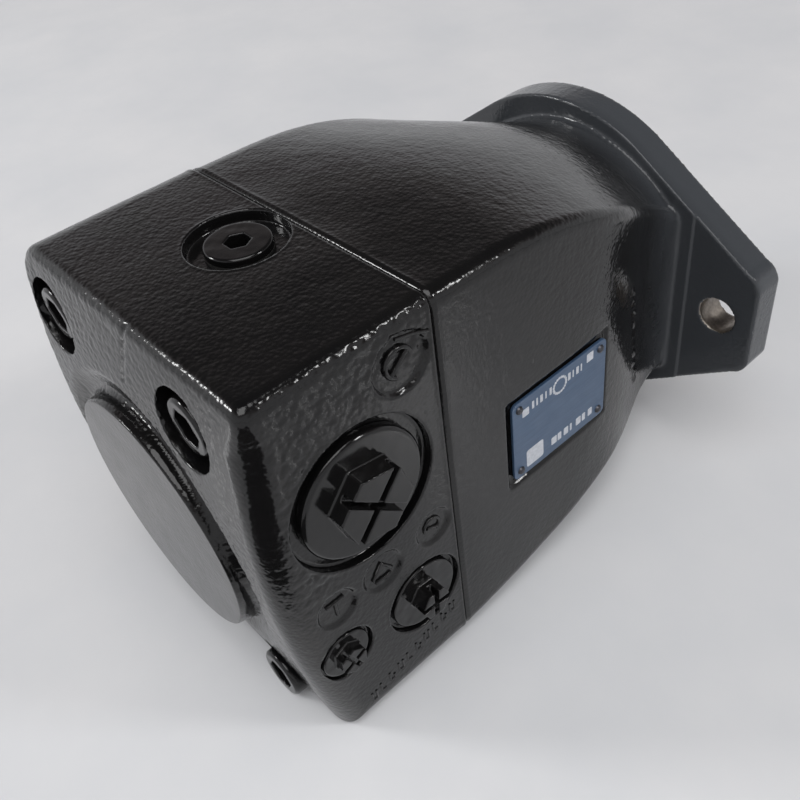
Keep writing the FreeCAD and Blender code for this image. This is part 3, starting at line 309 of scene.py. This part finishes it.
def add_grains(material, place, size_mm):
    """A cell texture: round grains about size_mm across with creases between them."""
    nodes, links = tool_nodes(material)
    cells = nodes.new("ShaderNodeTexVoronoi")
    cells.feature = "SMOOTH_F1"
    cells.inputs["Scale"].default_value = 1 / (size_mm * MM)
    cells.inputs["Smoothness"].default_value = 0.4
    links.new(place, cells.inputs["Vector"])
    flip = nodes.new("ShaderNodeMath")
    flip.operation = "SUBTRACT"
    flip.inputs[0].default_value = 1.0
    links.new(cells.outputs["Distance"], flip.inputs[1])
    return flip.outputs[0]


def painted_flange_sheen(material, place, colour):
    """The colour with a painted reflection: a bluish grey that grows towards the flange."""
    nodes, links = tool_nodes(material)
    split = nodes.new("ShaderNodeSeparateXYZ")
    links.new(place, split.inputs[0])
    reach = nodes.new("ShaderNodeMapRange")
    reach.inputs["From Min"].default_value = -32 * MM
    reach.inputs["From Max"].default_value = -8 * MM
    links.new(split.outputs["Y"], reach.inputs["Value"])
    # painted reflection: a bluish grey mixed into the paint towards the flange
    sheen_mix = nodes.new("ShaderNodeMix")
    sheen_mix.data_type = "RGBA"
    sheen_mix.inputs["B"].default_value = (0.050, 0.054, 0.060, 1)
    links.new(reach.outputs["Result"], sheen_mix.inputs["Factor"])
    links.new(colour, sheen_mix.inputs["A"])
    return sheen_mix.outputs["Result"]


def enamel(name, peel_mm, peel_depth, grain_depth, roughness):
    """Gloss black enamel. peel is its slow waviness, and grain what shows of the sand cast
    surface under it."""
    material, shader = new_material(name, IOR=1.40, Coat_Weight=0.06, Coat_Roughness=0.05)
    nodes, links = tool_nodes(material)
    place = object_place(material)
    patches = add_ramp(material, add_noise(material, place, 22, 5),
                       ((0.3, (0.0034, 0.0034, 0.0037)), (0.7, (0.0062, 0.0058, 0.0058))))
    # the base colour carries a painted bluish-grey reflection towards the flange
    links.new(painted_flange_sheen(material, place, patches), shader.inputs["Base Color"])
    links.new(add_ramp(material, add_noise(material, place, 9, 4),
                       ((0.3, roughness * 0.75), (0.75, roughness * 1.3))),
              shader.inputs["Roughness"])
    normal = add_bump(material, shader, add_noise(material, place, peel_mm, 3), peel_depth, 0.6)
    if grain_depth:
        add_bump(material, shader, add_grains(material, place, 1.3), grain_depth, 0.7, normal)
    return material


def metal(name, light, dark, roughness, streak=(1, 1, 1)):
    """A bare metal with fine tool marks. streak stretches the marks along an axis."""
    material, shader = new_material(name, Metallic=1.0)
    nodes, links = tool_nodes(material)
    place = object_place(material, streak)
    marks = add_noise(material, place, 1.2, 5, 0.6)
    links.new(add_ramp(material, marks, ((0.3, dark), (0.7, light))),
              shader.inputs["Base Color"])
    links.new(add_ramp(material, add_noise(material, object_place(material), 7, 3),
                       ((0.3, roughness * 0.8), (0.75, roughness * 1.3))),
              shader.inputs["Roughness"])
    add_bump(material, shader, marks, 0.01, 0.5)
    return material


def rubber():
    material, shader = new_material("seal_rubber", Specular_IOR_Level=0.35)
    nodes, links = tool_nodes(material)
    place = object_place(material)
    links.new(add_ramp(material, add_noise(material, place, 2, 4),
                       ((0.3, (0.012, 0.012, 0.012)), (0.7, (0.022, 0.021, 0.02)))),
              shader.inputs["Base Color"])
    links.new(add_ramp(material, add_noise(material, place, 4, 3), ((0.3, 0.5), (0.7, 0.7))),
              shader.inputs["Roughness"])
    add_bump(material, shader, add_noise(material, place, 0.4, 3), 0.02, 0.5)
    return material


def plate_blue():
    """Anodised sheet: slate blue, with a brushed grain along the plate."""
    material, shader = new_material("plate_blue", Metallic=0.35, Coat_Weight=0.25,
                                    Coat_Roughness=0.12)
    nodes, links = tool_nodes(material)
    grain = add_noise(material, object_place(material, (1, 0.06, 1)), 0.6, 4)
    links.new(add_ramp(material, grain, ((0.3, (0.040, 0.075, 0.140)),
                                         (0.7, (0.055, 0.100, 0.175)))),
              shader.inputs["Base Color"])
    links.new(add_ramp(material, add_noise(material, object_place(material), 5, 3),
                       ((0.3, 0.30), (0.7, 0.42))), shader.inputs["Roughness"])
    add_bump(material, shader, grain, 0.01, 0.3)
    return material


def plate_print():
    material, shader = new_material("plate_print", Roughness=0.5)
    nodes, links = tool_nodes(material)
    place = object_place(material)
    links.new(add_ramp(material, add_noise(material, place, 1.2, 4),
                       ((0.3, (0.42, 0.44, 0.48)), (0.7, (0.56, 0.58, 0.62)))),
              shader.inputs["Base Color"])
    return material


# ---------------------------------------------------------------- noise on vertices
def lattice_value(cells, seed):
    """A repeatable number from 0 to 1 for each whole-number lattice point."""
    mixed = (cells[:, 0] * 374761393 + cells[:, 1] * 668265263 + cells[:, 2] * 1274126177
             + seed * 144665) & 0xFFFFFFFF
    mixed = ((mixed ^ (mixed >> 13)) * 1274126177) & 0xFFFFFFFF
    return ((mixed ^ (mixed >> 16)) & 0xFFFF) / 0xFFFF


def lumps(points, size, seed):
    """Smooth noise from -1 to 1 at points in millimetres, with lumps about size across."""
    scaled = points / float(size)
    cells = np.floor(scaled).astype(np.int64)
    part = scaled - cells
    part = part * part * (3 - 2 * part)
    total = np.zeros(len(points))
    for step in np.ndindex(2, 2, 2):
        step = np.array(step)
        share = np.prod(np.where(step == 1, part, 1 - part), axis=1)
        total += share * lattice_value(cells + step, seed)
    return 2 * total - 1


def smooth_step(value, low, high):
    """0 below low, 1 above high, and a smooth climb between."""
    t = np.clip((value - low) / (high - low), 0, 1)
    return t * t * (3 - 2 * t)


# ---------------------------------------------------------------- pieces from CAD nodes
def link_mesh(name, mesh, material, body):
    """A piece of the motor from a mesh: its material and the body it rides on."""
    piece = bpy.data.objects.new(name, mesh)
    scene.collection.objects.link(piece)
    mesh.materials.clear()
    mesh.materials.append(material)
    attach(piece, body)
    return piece


def applied(piece):
    """The piece's mesh with its modifiers applied, as a new mesh."""
    graph = bpy.context.evaluated_depsgraph_get()
    return bpy.data.meshes.new_from_object(piece.evaluated_get(graph))


def even_mesh(name, node, voxel_mm, passes=2):
    """A copy of a CAD node's mesh, rebuilt with small even faces that lie on the CAD
    surface, with its edges softened by a few smoothing passes as thick paint does."""
    holder = bpy.data.objects.new(name + "_source", frame["nodes"][node].data.copy())
    scene.collection.objects.link(holder)
    remesh = holder.modifiers.new("even", "REMESH")
    remesh.mode = "VOXEL"
    remesh.voxel_size = voxel_mm * MM
    snap = holder.modifiers.new("snap", "SHRINKWRAP")
    snap.target = frame["nodes"][node]
    snap.wrap_method = "NEAREST_SURFACEPOINT"
    soften = holder.modifiers.new("soften", "SMOOTH")
    soften.factor = 0.5
    soften.iterations = passes
    even = applied(holder)
    bpy.data.objects.remove(holder)
    even.name = name
    even.polygons.foreach_set("use_smooth", np.ones(len(even.polygons), bool))
    return even


def read_points(mesh):
    """Vertex places in millimetres and their normals."""
    places = np.empty(len(mesh.vertices) * 3, np.float32)
    mesh.vertices.foreach_get("co", places)
    normals = np.empty(len(mesh.vertices) * 3, np.float32)
    mesh.vertex_normals.foreach_get("vector", normals)
    return places.reshape(-1, 3).astype(float) / MM, normals.reshape(-1, 3).astype(float)


def write_points(mesh, places):
    """Puts the vertices at places in millimetres."""
    mesh.vertices.foreach_set("co", (places * MM).astype(np.float32).ravel())
    mesh.update()


def radius_from(points, centre, axis):
    """Distance of points from a line through centre along an axis (0, 1 or 2)."""
    others = [i for i in range(3) if i != axis]
    return np.hypot(points[:, others[0]] - centre[others[0]],
                    points[:, others[1]] - centre[others[1]])


def outside_circle(points, centre, axis, radius, side):
    """1 outside a machined circle on one side of the block, 0 inside it."""
    clear = smooth_step(radius_from(points, centre, axis), radius, radius + 0.8)
    return np.where((points[:, axis] - BLOCK_MIDDLE[axis]) * side > 0, clear, 1.0)


def grains(points, size, seed):
    """Round grains about size mm apart: 0 in the creases, 1 on the crowns."""
    scaled = points / size
    cells = np.floor(scaled).astype(np.int64)
    nearest = np.full(len(points), 9.0)
    for step in np.ndindex(3, 3, 3):
        cell = cells + np.array(step) - 1
        spot = cell + np.stack([lattice_value(cell, seed + 7 * i) for i in range(3)], axis=1)
        nearest = np.minimum(nearest, ((scaled - spot) ** 2).sum(axis=1))
    return np.clip(1 - nearest / 0.7, 0, 1)


def rear_place(z):
    """Where the crowned rear face lies along Y at a height."""
    share = (BLOCK_HIGH[2] - z) / (BLOCK_HIGH[2] - BLOCK_LOW[2])
    return REAR_TOP_Y + (REAR_BOTTOM_Y - REAR_TOP_Y) * share - REAR_BULGE * 4 * share * (1 - share)


def round_rear_edge(points):
    """Wider rounding of the upright edge between the rear face and the right face."""
    lower = 1 - smooth_step(points[:, 2], BLOCK_HIGH[2] - 16, BLOCK_HIGH[2] - 3)
    radius = EDGE_RADIUS + EDGE_WIDENING * lower
    across = radius - (BLOCK_HIGH[0] - points[:, 0])
    along = radius - (points[:, 1] - rear_place(points[:, 2]))
    far = np.hypot(across, along)
    outside = (across > 0) & (along > 0) & (far > radius)
    pull = np.where(outside, radius / np.maximum(far, 1e-6), 1.0)
    points[:, 0] += across * (pull - 1)
    points[:, 1] -= along * (pull - 1)


def seam_groove(points, normals):
    """How far each point near the seam is pulled in, so the joint reads as a dark gap."""
    near = 1 - smooth_step(np.abs(points[:, 1] - SEAM_Y), 0.2, SEAM_HALF_WIDTH)
    outer = 1 - smooth_step(np.abs(normals[:, 1]), 0.75, 0.95)
    return SEAM_DEPTH * near * outer


def distance_to_line(points, start, end, axes):
    """Distance of points from a segment, seen along the axis that axes leaves out."""
    flat = points[:, axes]
    start, end = np.array(start, float), np.array(end, float)
    along = end - start
    share = np.clip(((flat - start) @ along) / (along @ along), 0, 1)
    return np.linalg.norm(flat - start - share[:, None] * along, axis=1)


def cast_share(points):
    """1 where the block is rough from the sand mould, 0 where it is machined smooth."""
    share = np.ones(len(points))
    for centre, axis, radius, side in MACHINED:
        share *= outside_circle(points, centre, axis, radius, side)
    share *= smooth_step(SEAM_Y - points[:, 1], 0.8, 2.5)
    share *= smooth_step(points[:, 1], BOSS_Y + 0.15, BOSS_Y + 0.9)
    from_rear_face = points[:, 1] - rear_place(points[:, 2])
    share *= 1 - EDGE_SMOOTHING * (1 - smooth_step(from_rear_face, 5, 12)) * (
        smooth_step(points[:, 0], BLOCK_HIGH[0] - 12, BLOCK_HIGH[0] - 5))
    return share


def block_relief(points, normals, on_right, on_rear):
    """How far the cast grain and its slow waviness lie below the CAD surface, as negative
    millimetres. The grain is coarse on the right face near its upper and rear edges."""
    on_top = smooth_step(normals[:, 2], 0.5, 0.9)
    from_rear = points[:, 1] - BOSS_Y
    from_top = BLOCK_HIGH[2] - points[:, 2]
    near_edge = 1 - smooth_step(np.minimum(from_rear - BOSS_STANDS_OUT, from_top), 8, 26)
    upper = smooth_step(points[:, 2], -10, 25)
    height = (0.12 - 0.05 * on_top + on_rear * (0.08 + 0.10 * upper)
              + on_right * (0.80 * near_edge * upper - 0.04 * (1 - near_edge)))
    height = height * (0.75 + 0.25 * lumps(points, 13, 3))
    coarse = np.maximum(on_right * near_edge, 0.5 * on_rear)
    bed = (coarse * grains(points, 2.5, 1) + (1 - 0.6 * coarse) * grains(points, 1.7, 40)) / (
        1 + 0.4 * coarse)
    return height * (bed - 1) + 0.12 * (lumps(points, 15, 3) - 1)


def make_port_plate():
    """The rear block under paint: grain, pads, the boss's moat, the crease and the seam."""
    mesh = even_mesh("port_plate_casting", "port_plate", 0.55)
    points, normals = read_points(mesh)
    round_rear_edge(points)
    rough = cast_share(points)
    on_right = smooth_step(normals[:, 0], 0.5, 0.9)
    on_rear = smooth_step(-normals[:, 1], 0.4, 0.8)
    shift = rough * block_relief(points, normals, on_right, on_rear)
    for y, z, radius, depth in PADS:
        reach = np.hypot(points[:, 1] - y, points[:, 2] - z)
        shift -= on_right * depth * (1 - smooth_step(reach, radius - 0.5, radius + 0.6))
    from_axis = np.hypot(points[:, 0], points[:, 2])
    moat = 1 - smooth_step(from_axis, BOSS_RADIUS + 1.5, MOAT_RADIUS)
    moat = moat * smooth_step(from_axis, BOSS_RADIUS + 0.3, BOSS_RADIUS + 2.5)
    shift -= on_rear * rough * MOAT_DEPTH * moat
    from_crease = distance_to_line(points, CREASE_START, CREASE_END, [0, 2])
    shift -= on_rear * CREASE_DEPTH * np.exp(-(from_crease / CREASE_WIDTH) ** 2)
    shift -= seam_groove(points, normals)
    points += normals * shift[:, None]
    write_points(mesh, points)
    piece = link_mesh("port_plate_casting", mesh, MATERIALS["cast_paint"], "casing")
    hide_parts("port_plate")


def make_housing():
    """The housing under paint: grain, the plate's frame, cast marks and the seam."""
    mesh = even_mesh("housing_casting", "housing", 0.8)
    points, normals = read_points(mesh)
    rough = smooth_step(points[:, 1], SEAM_Y + 0.8, SEAM_Y + 2.5)
    rough *= smooth_step(-FLANGE_THICK - points[:, 1], -0.4, 1.0)
    bed = 0.4 * grains(points, 2.7, 4) + 0.6 * grains(points, 1.8, 44)
    height = 0.11 - 0.03 * smooth_step(normals[:, 2], 0.3, 0.8)
    shift = rough * (height * (bed - 1) + 0.14 * (lumps(points, 17, 6) - 1))
    beside = np.maximum(np.maximum(PLATE_LOW[1] - points[:, 1], points[:, 1] - PLATE_HIGH[1]),
                        np.maximum(PLATE_LOW[2] - points[:, 2], points[:, 2] - PLATE_HIGH[2]))
    on_right = smooth_step(points[:, 0], 60, 62)
    frame_ring = smooth_step(-beside, -PLATE_FRAME - 0.5, -PLATE_FRAME + 0.4)
    frame_ring = frame_ring * smooth_step(beside, -0.4, 0.4)
    shift -= on_right * PLATE_FRAME_DEPTH * frame_ring
    for first, last, count in MARK_ROWS:
        for i in range(count):
            y, z = np.array(first) + (np.array(last) - first) * i / (count - 1)
            wide, tall = (1.9, 1.0) if i % 3 else (1.1, 1.7)
            far = np.hypot((points[:, 1] - y) / wide, (points[:, 2] - z) / tall)
            shift += smooth_step(normals[:, 0], 0.2, 0.6) * MARK_HEIGHT * np.exp(-far ** 4)
    shift -= seam_groove(points, normals)
    points += normals * shift[:, None]
    write_points(mesh, points)
    piece = link_mesh("housing_casting", mesh, MATERIALS["cast_paint"], "casing")
    add_bare_faces(mesh)
    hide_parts("housing")


def add_bare_faces(mesh):
    """Bare machined iron in the bolt holes and on the mounting face and pilot."""
    mesh.materials.append(MATERIALS["bare_iron"])
    count = len(mesh.polygons)
    centres = np.empty(count * 3, np.float32)
    mesh.polygons.foreach_get("center", centres)
    centres = centres.reshape(-1, 3) / MM
    bare = centres[:, 1] > -0.5
    for x in (BOLT_X, -BOLT_X):
        in_hole = radius_from(centres, (x, 0, 0), 1) < BOLT_HOLE_REACH
        bare |= in_hole & (centres[:, 1] > -FLANGE_THICK)
    mesh.polygons.foreach_set("material_index", bare.astype(np.int32))


# ---------------------------------------------------------------- plugs and screws
def make_painted(node, voxel_mm, passes, wave_mm, slot):
    """A small part under thick paint: soft edges and slightly wavy faces."""
    mesh = even_mesh(f"{node}_painted", node, voxel_mm * (1), passes)
    points, normals = read_points(mesh)
    shift = wave_mm * (lumps(points, 2.6, 21) - 1)
    points += normals * shift[:, None]
    write_points(mesh, points)
    piece = link_mesh(mesh.name, mesh, MATERIALS["smooth_paint"], "casing")
    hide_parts(node)


# small painted parts: node, voxel size, smoothing passes, waviness in millimetres, slot
PAINTED = (("service_port_plug_right", 0.38, 3, 0.02, "transit_cap"),
           ("service_port_plug_left", 0.38, 3, 0.02, "transit_cap"),
           ("gauge_port_plug", 0.28, 4, 0.10, "painted_screws"),
           ("bleed_port_plug", 0.24, 4, 0.10, "painted_screws"),
           ("top_drain_plug", 0.32, 3, 0.03, "painted_screws"),
           ("bottom_drain_plug", 0.32, 3, 0.03, "painted_screws"),
           ("port_plate_screws", 0.38, 3, 0.04, "painted_screws"))


# ---------------------------------------------------------------- cast marks
def raised_lines(name, lines, radius_mm, x_mm):
    """Rounded ridges on the right face, through (along Y, height) points in millimetres."""
    curve = bpy.data.curves.new(name, "CURVE")
    curve.dimensions = "3D"
    curve.bevel_depth = radius_mm * MM
    curve.bevel_resolution = 3
    curve.use_fill_caps = True
    for line in lines:
        spline = curve.splines.new("POLY")
        spline.points.add(len(line) - 1)
        for point, (y, z) in zip(spline.points, line):
            point.co = (x_mm * MM, y * MM, z * MM, 1)
    holder = bpy.data.objects.new(name + "_curve", curve)
    scene.collection.objects.link(holder)
    mesh = applied(holder)
    bpy.data.objects.remove(holder)
    mesh.name = name
    mesh.polygons.foreach_set("use_smooth", np.ones(len(mesh.polygons), bool))
    return link_mesh(name, mesh, MATERIALS["cast_paint"], "casing")


def arc_line(y, z, radius, start, end, count=18):
    """Points along an arc, in degrees."""
    turns = [math.radians(start + (end - start) * i / count) for i in range(count + 1)]
    return [(y + radius * math.cos(t), z + radius * math.sin(t)) for t in turns]


def make_cast_marks():
    """A plain symbol in each pad, a row of plain marks and a flow line of the casting."""
    face = BLOCK_HIGH[0]
    (y1, z1, _, d1), (y2, z2, _, d2), (y3, z3, _, d3), (y4, z4, _, d4) = PADS
    raised_lines("pad_mark_1", (arc_line(y1, z1, 4.4, 20, 250),
                                [(y1 - 3, z1 - 3), (y1 + 3.4, z1 + 2.6)]), 0.75, face - d1)
    raised_lines("pad_mark_2", (arc_line(y2, z2, 3.0, -60, 200),
                                [(y2 - 2, z2), (y2 + 2.4, z2 - 2)]), 0.6, face - d2)
    raised_lines("pad_mark_3", ([(y3 - 3.6, z3 - 2), (y3, z3 + 3.2), (y3 + 3.6, z3 - 2)],
                                [(y3 - 3, z3 - 3.6), (y3 + 3, z3 - 3.6)]), 0.6, face - d3)
    raised_lines("pad_mark_4", ([(y4 - 3.2, z4 + 2.6), (y4 + 3.2, z4 + 2.6)],
                                [(y4, z4 + 2.4), (y4, z4 - 3.4)]), 0.6, face - d4)
    row = []
    for i in range(ROW_COUNT):
        y, z = (start + reach * i / (ROW_COUNT - 1) for start, reach in zip(ROW_START, ROW_REACH))
        row.append([(y - 1.0, z + 2.1), (y - 1.0, z - 1.9)])
        row.append([(y + 0.9, z + 2.1 - 2.0 * (i % 3)), (y + 0.9, z - 1.9), (y - 1.0, z - 1.9)])
    raised_lines("cast_row", row, 0.62, face - 0.42)
    raised_lines("flow_line", ([(-142.0, 69.0), (-147.5, 71.4), (-152.9, 72.8)],), 0.5,
                 face - 0.35)


# ---------------------------------------------------------------- name plate
def rounded_box(work, low, high, x_low, x_high, corner):
    """Adds a flat prism with round corners between two heights on the right face."""
    outline = []
    for y, z, start in ((high[0] - corner, high[1] - corner, 0),
                        (low[0] + corner, high[1] - corner, 90),
                        (low[0] + corner, low[1] + corner, 180),
                        (high[0] - corner, low[1] + corner, 270)):
        outline += arc_line(y, z, corner, start, start + 90, 6)
    top = [work.verts.new((x_high * MM, y * MM, z * MM)) for y, z in outline]
    base = [work.verts.new((x_low * MM, y * MM, z * MM)) for y, z in outline]
    work.faces.new(top)
    work.faces.new(base[::-1])
    for i, vert in enumerate(top):
        after = (i + 1) % len(top)
        work.faces.new((vert, base[i], base[after], top[after]))


def finished(work, name):
    """A bmesh as a mesh, with its normals turned outwards."""
    bmesh.ops.recalc_face_normals(work, faces=work.faces)
    mesh = bpy.data.meshes.new(name)
    work.to_mesh(mesh)
    work.free()
    return mesh


def make_name_plate():
    """The sheet with round corners, and its plain print: blocks, a dial, ticks and bars."""
    work = bmesh.new()
    low, high = PLATE_LOW, PLATE_HIGH
    rounded_box(work, (low[1] + 0.1, low[2] + 0.1), (high[1] - 0.1, high[2] - 0.1), low[0],
                high[0], 2.2)
    sheet = finished(work, "name_plate_sheet")
    piece = link_mesh("name_plate_sheet", sheet, MATERIALS["plate_blue"], "casing")
    soften = piece.modifiers.new("rim", "BEVEL")
    soften.width = 0.15 * MM
    soften.segments = 2
    soften.limit_method = "ANGLE"
    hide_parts("name_plate")

    work = bmesh.new()
    base, face = high[0] - PRINT_LIFT, high[0] + PRINT_LIFT
    for y0, y1, z0, z1, corner in PRINT_BLOCKS:
        rounded_box(work, (y0, z0), (y1, z1), base, face, corner)
    for i, width in enumerate(PRINT_BARS):
        start = -95.6 + 3.1 * i
        rounded_box(work, (start, -7.6), (start + width, -4.4), base, face, 0.35)
    for y, z in arc_line(-91.5, 16.5, 3.0, 0, 342, 18):
        rounded_box(work, (y - 0.45, z - 0.45), (y + 0.45, z + 0.45), base, face, 0.2)
    link_mesh("name_plate_print", finished(work, "name_plate_print"), MATERIALS["plate_print"],
              "casing")


# ---------------------------------------------------------------- materials on CAD nodes
def dress_nodes():
    """Every CAD node that stays gets the material of its slot."""
    slots = {s["node"]: s["material_slot"] for s in frame["record"]["subparts"]}
    for name, node in frame["nodes"].items():
        material = SLOT_MATERIALS[slots[name]]
        node.data.materials.clear()
        node.data.materials.append(material)


MATERIALS = {"cast_paint": enamel("cast_paint", 3.0, 0.07, 0.09, 0.16),
             "smooth_paint": enamel("smooth_paint", 3.2, 0.05, 0, 0.13), "rubber": rubber(),
             "plate_blue": plate_blue(), "plate_print": plate_print(),
             "ground_steel": metal("ground_steel", (0.62, 0.62, 0.63), (0.42, 0.42, 0.43), 0.25),
             "shaft_steel": metal("shaft_steel", (0.64, 0.64, 0.65), (0.45, 0.45, 0.46), 0.22,
                                  (1, 20, 1)),
             "spring_steel": metal("spring_steel", (0.34, 0.34, 0.36), (0.20, 0.20, 0.21), 0.35),
             "pressed_steel": metal("pressed_steel", (0.5, 0.5, 0.51), (0.36, 0.36, 0.37), 0.35),
             "bronze": metal("bronze", (0.72, 0.50, 0.26), (0.52, 0.34, 0.16), 0.28),
             "bare_iron": metal("bare_iron", (0.30, 0.27, 0.24), (0.17, 0.15, 0.13), 0.38),
             "rivet": metal("rivet", (0.10, 0.10, 0.11), (0.05, 0.05, 0.055), 0.4)}
SLOT_MATERIALS = {
    "casting_paint": MATERIALS["cast_paint"], "painted_screws": MATERIALS["smooth_paint"],
    "transit_cap": MATERIALS["smooth_paint"], "plate_blue": MATERIALS["plate_blue"],
    "rivet_metal": MATERIALS["rivet"], "shaft_steel": MATERIALS["shaft_steel"],
    "ground_steel": MATERIALS["ground_steel"], "spring_steel": MATERIALS["spring_steel"],
    "pressed_steel": MATERIALS["pressed_steel"], "bronze": MATERIALS["bronze"],
    "seal_rubber": MATERIALS["rubber"],
}

add_camera()
add_stage()
add_light()
dress_nodes()
make_port_plate()
make_housing()
for row in PAINTED:
    make_painted(*row)
make_cast_marks()
make_name_plate()
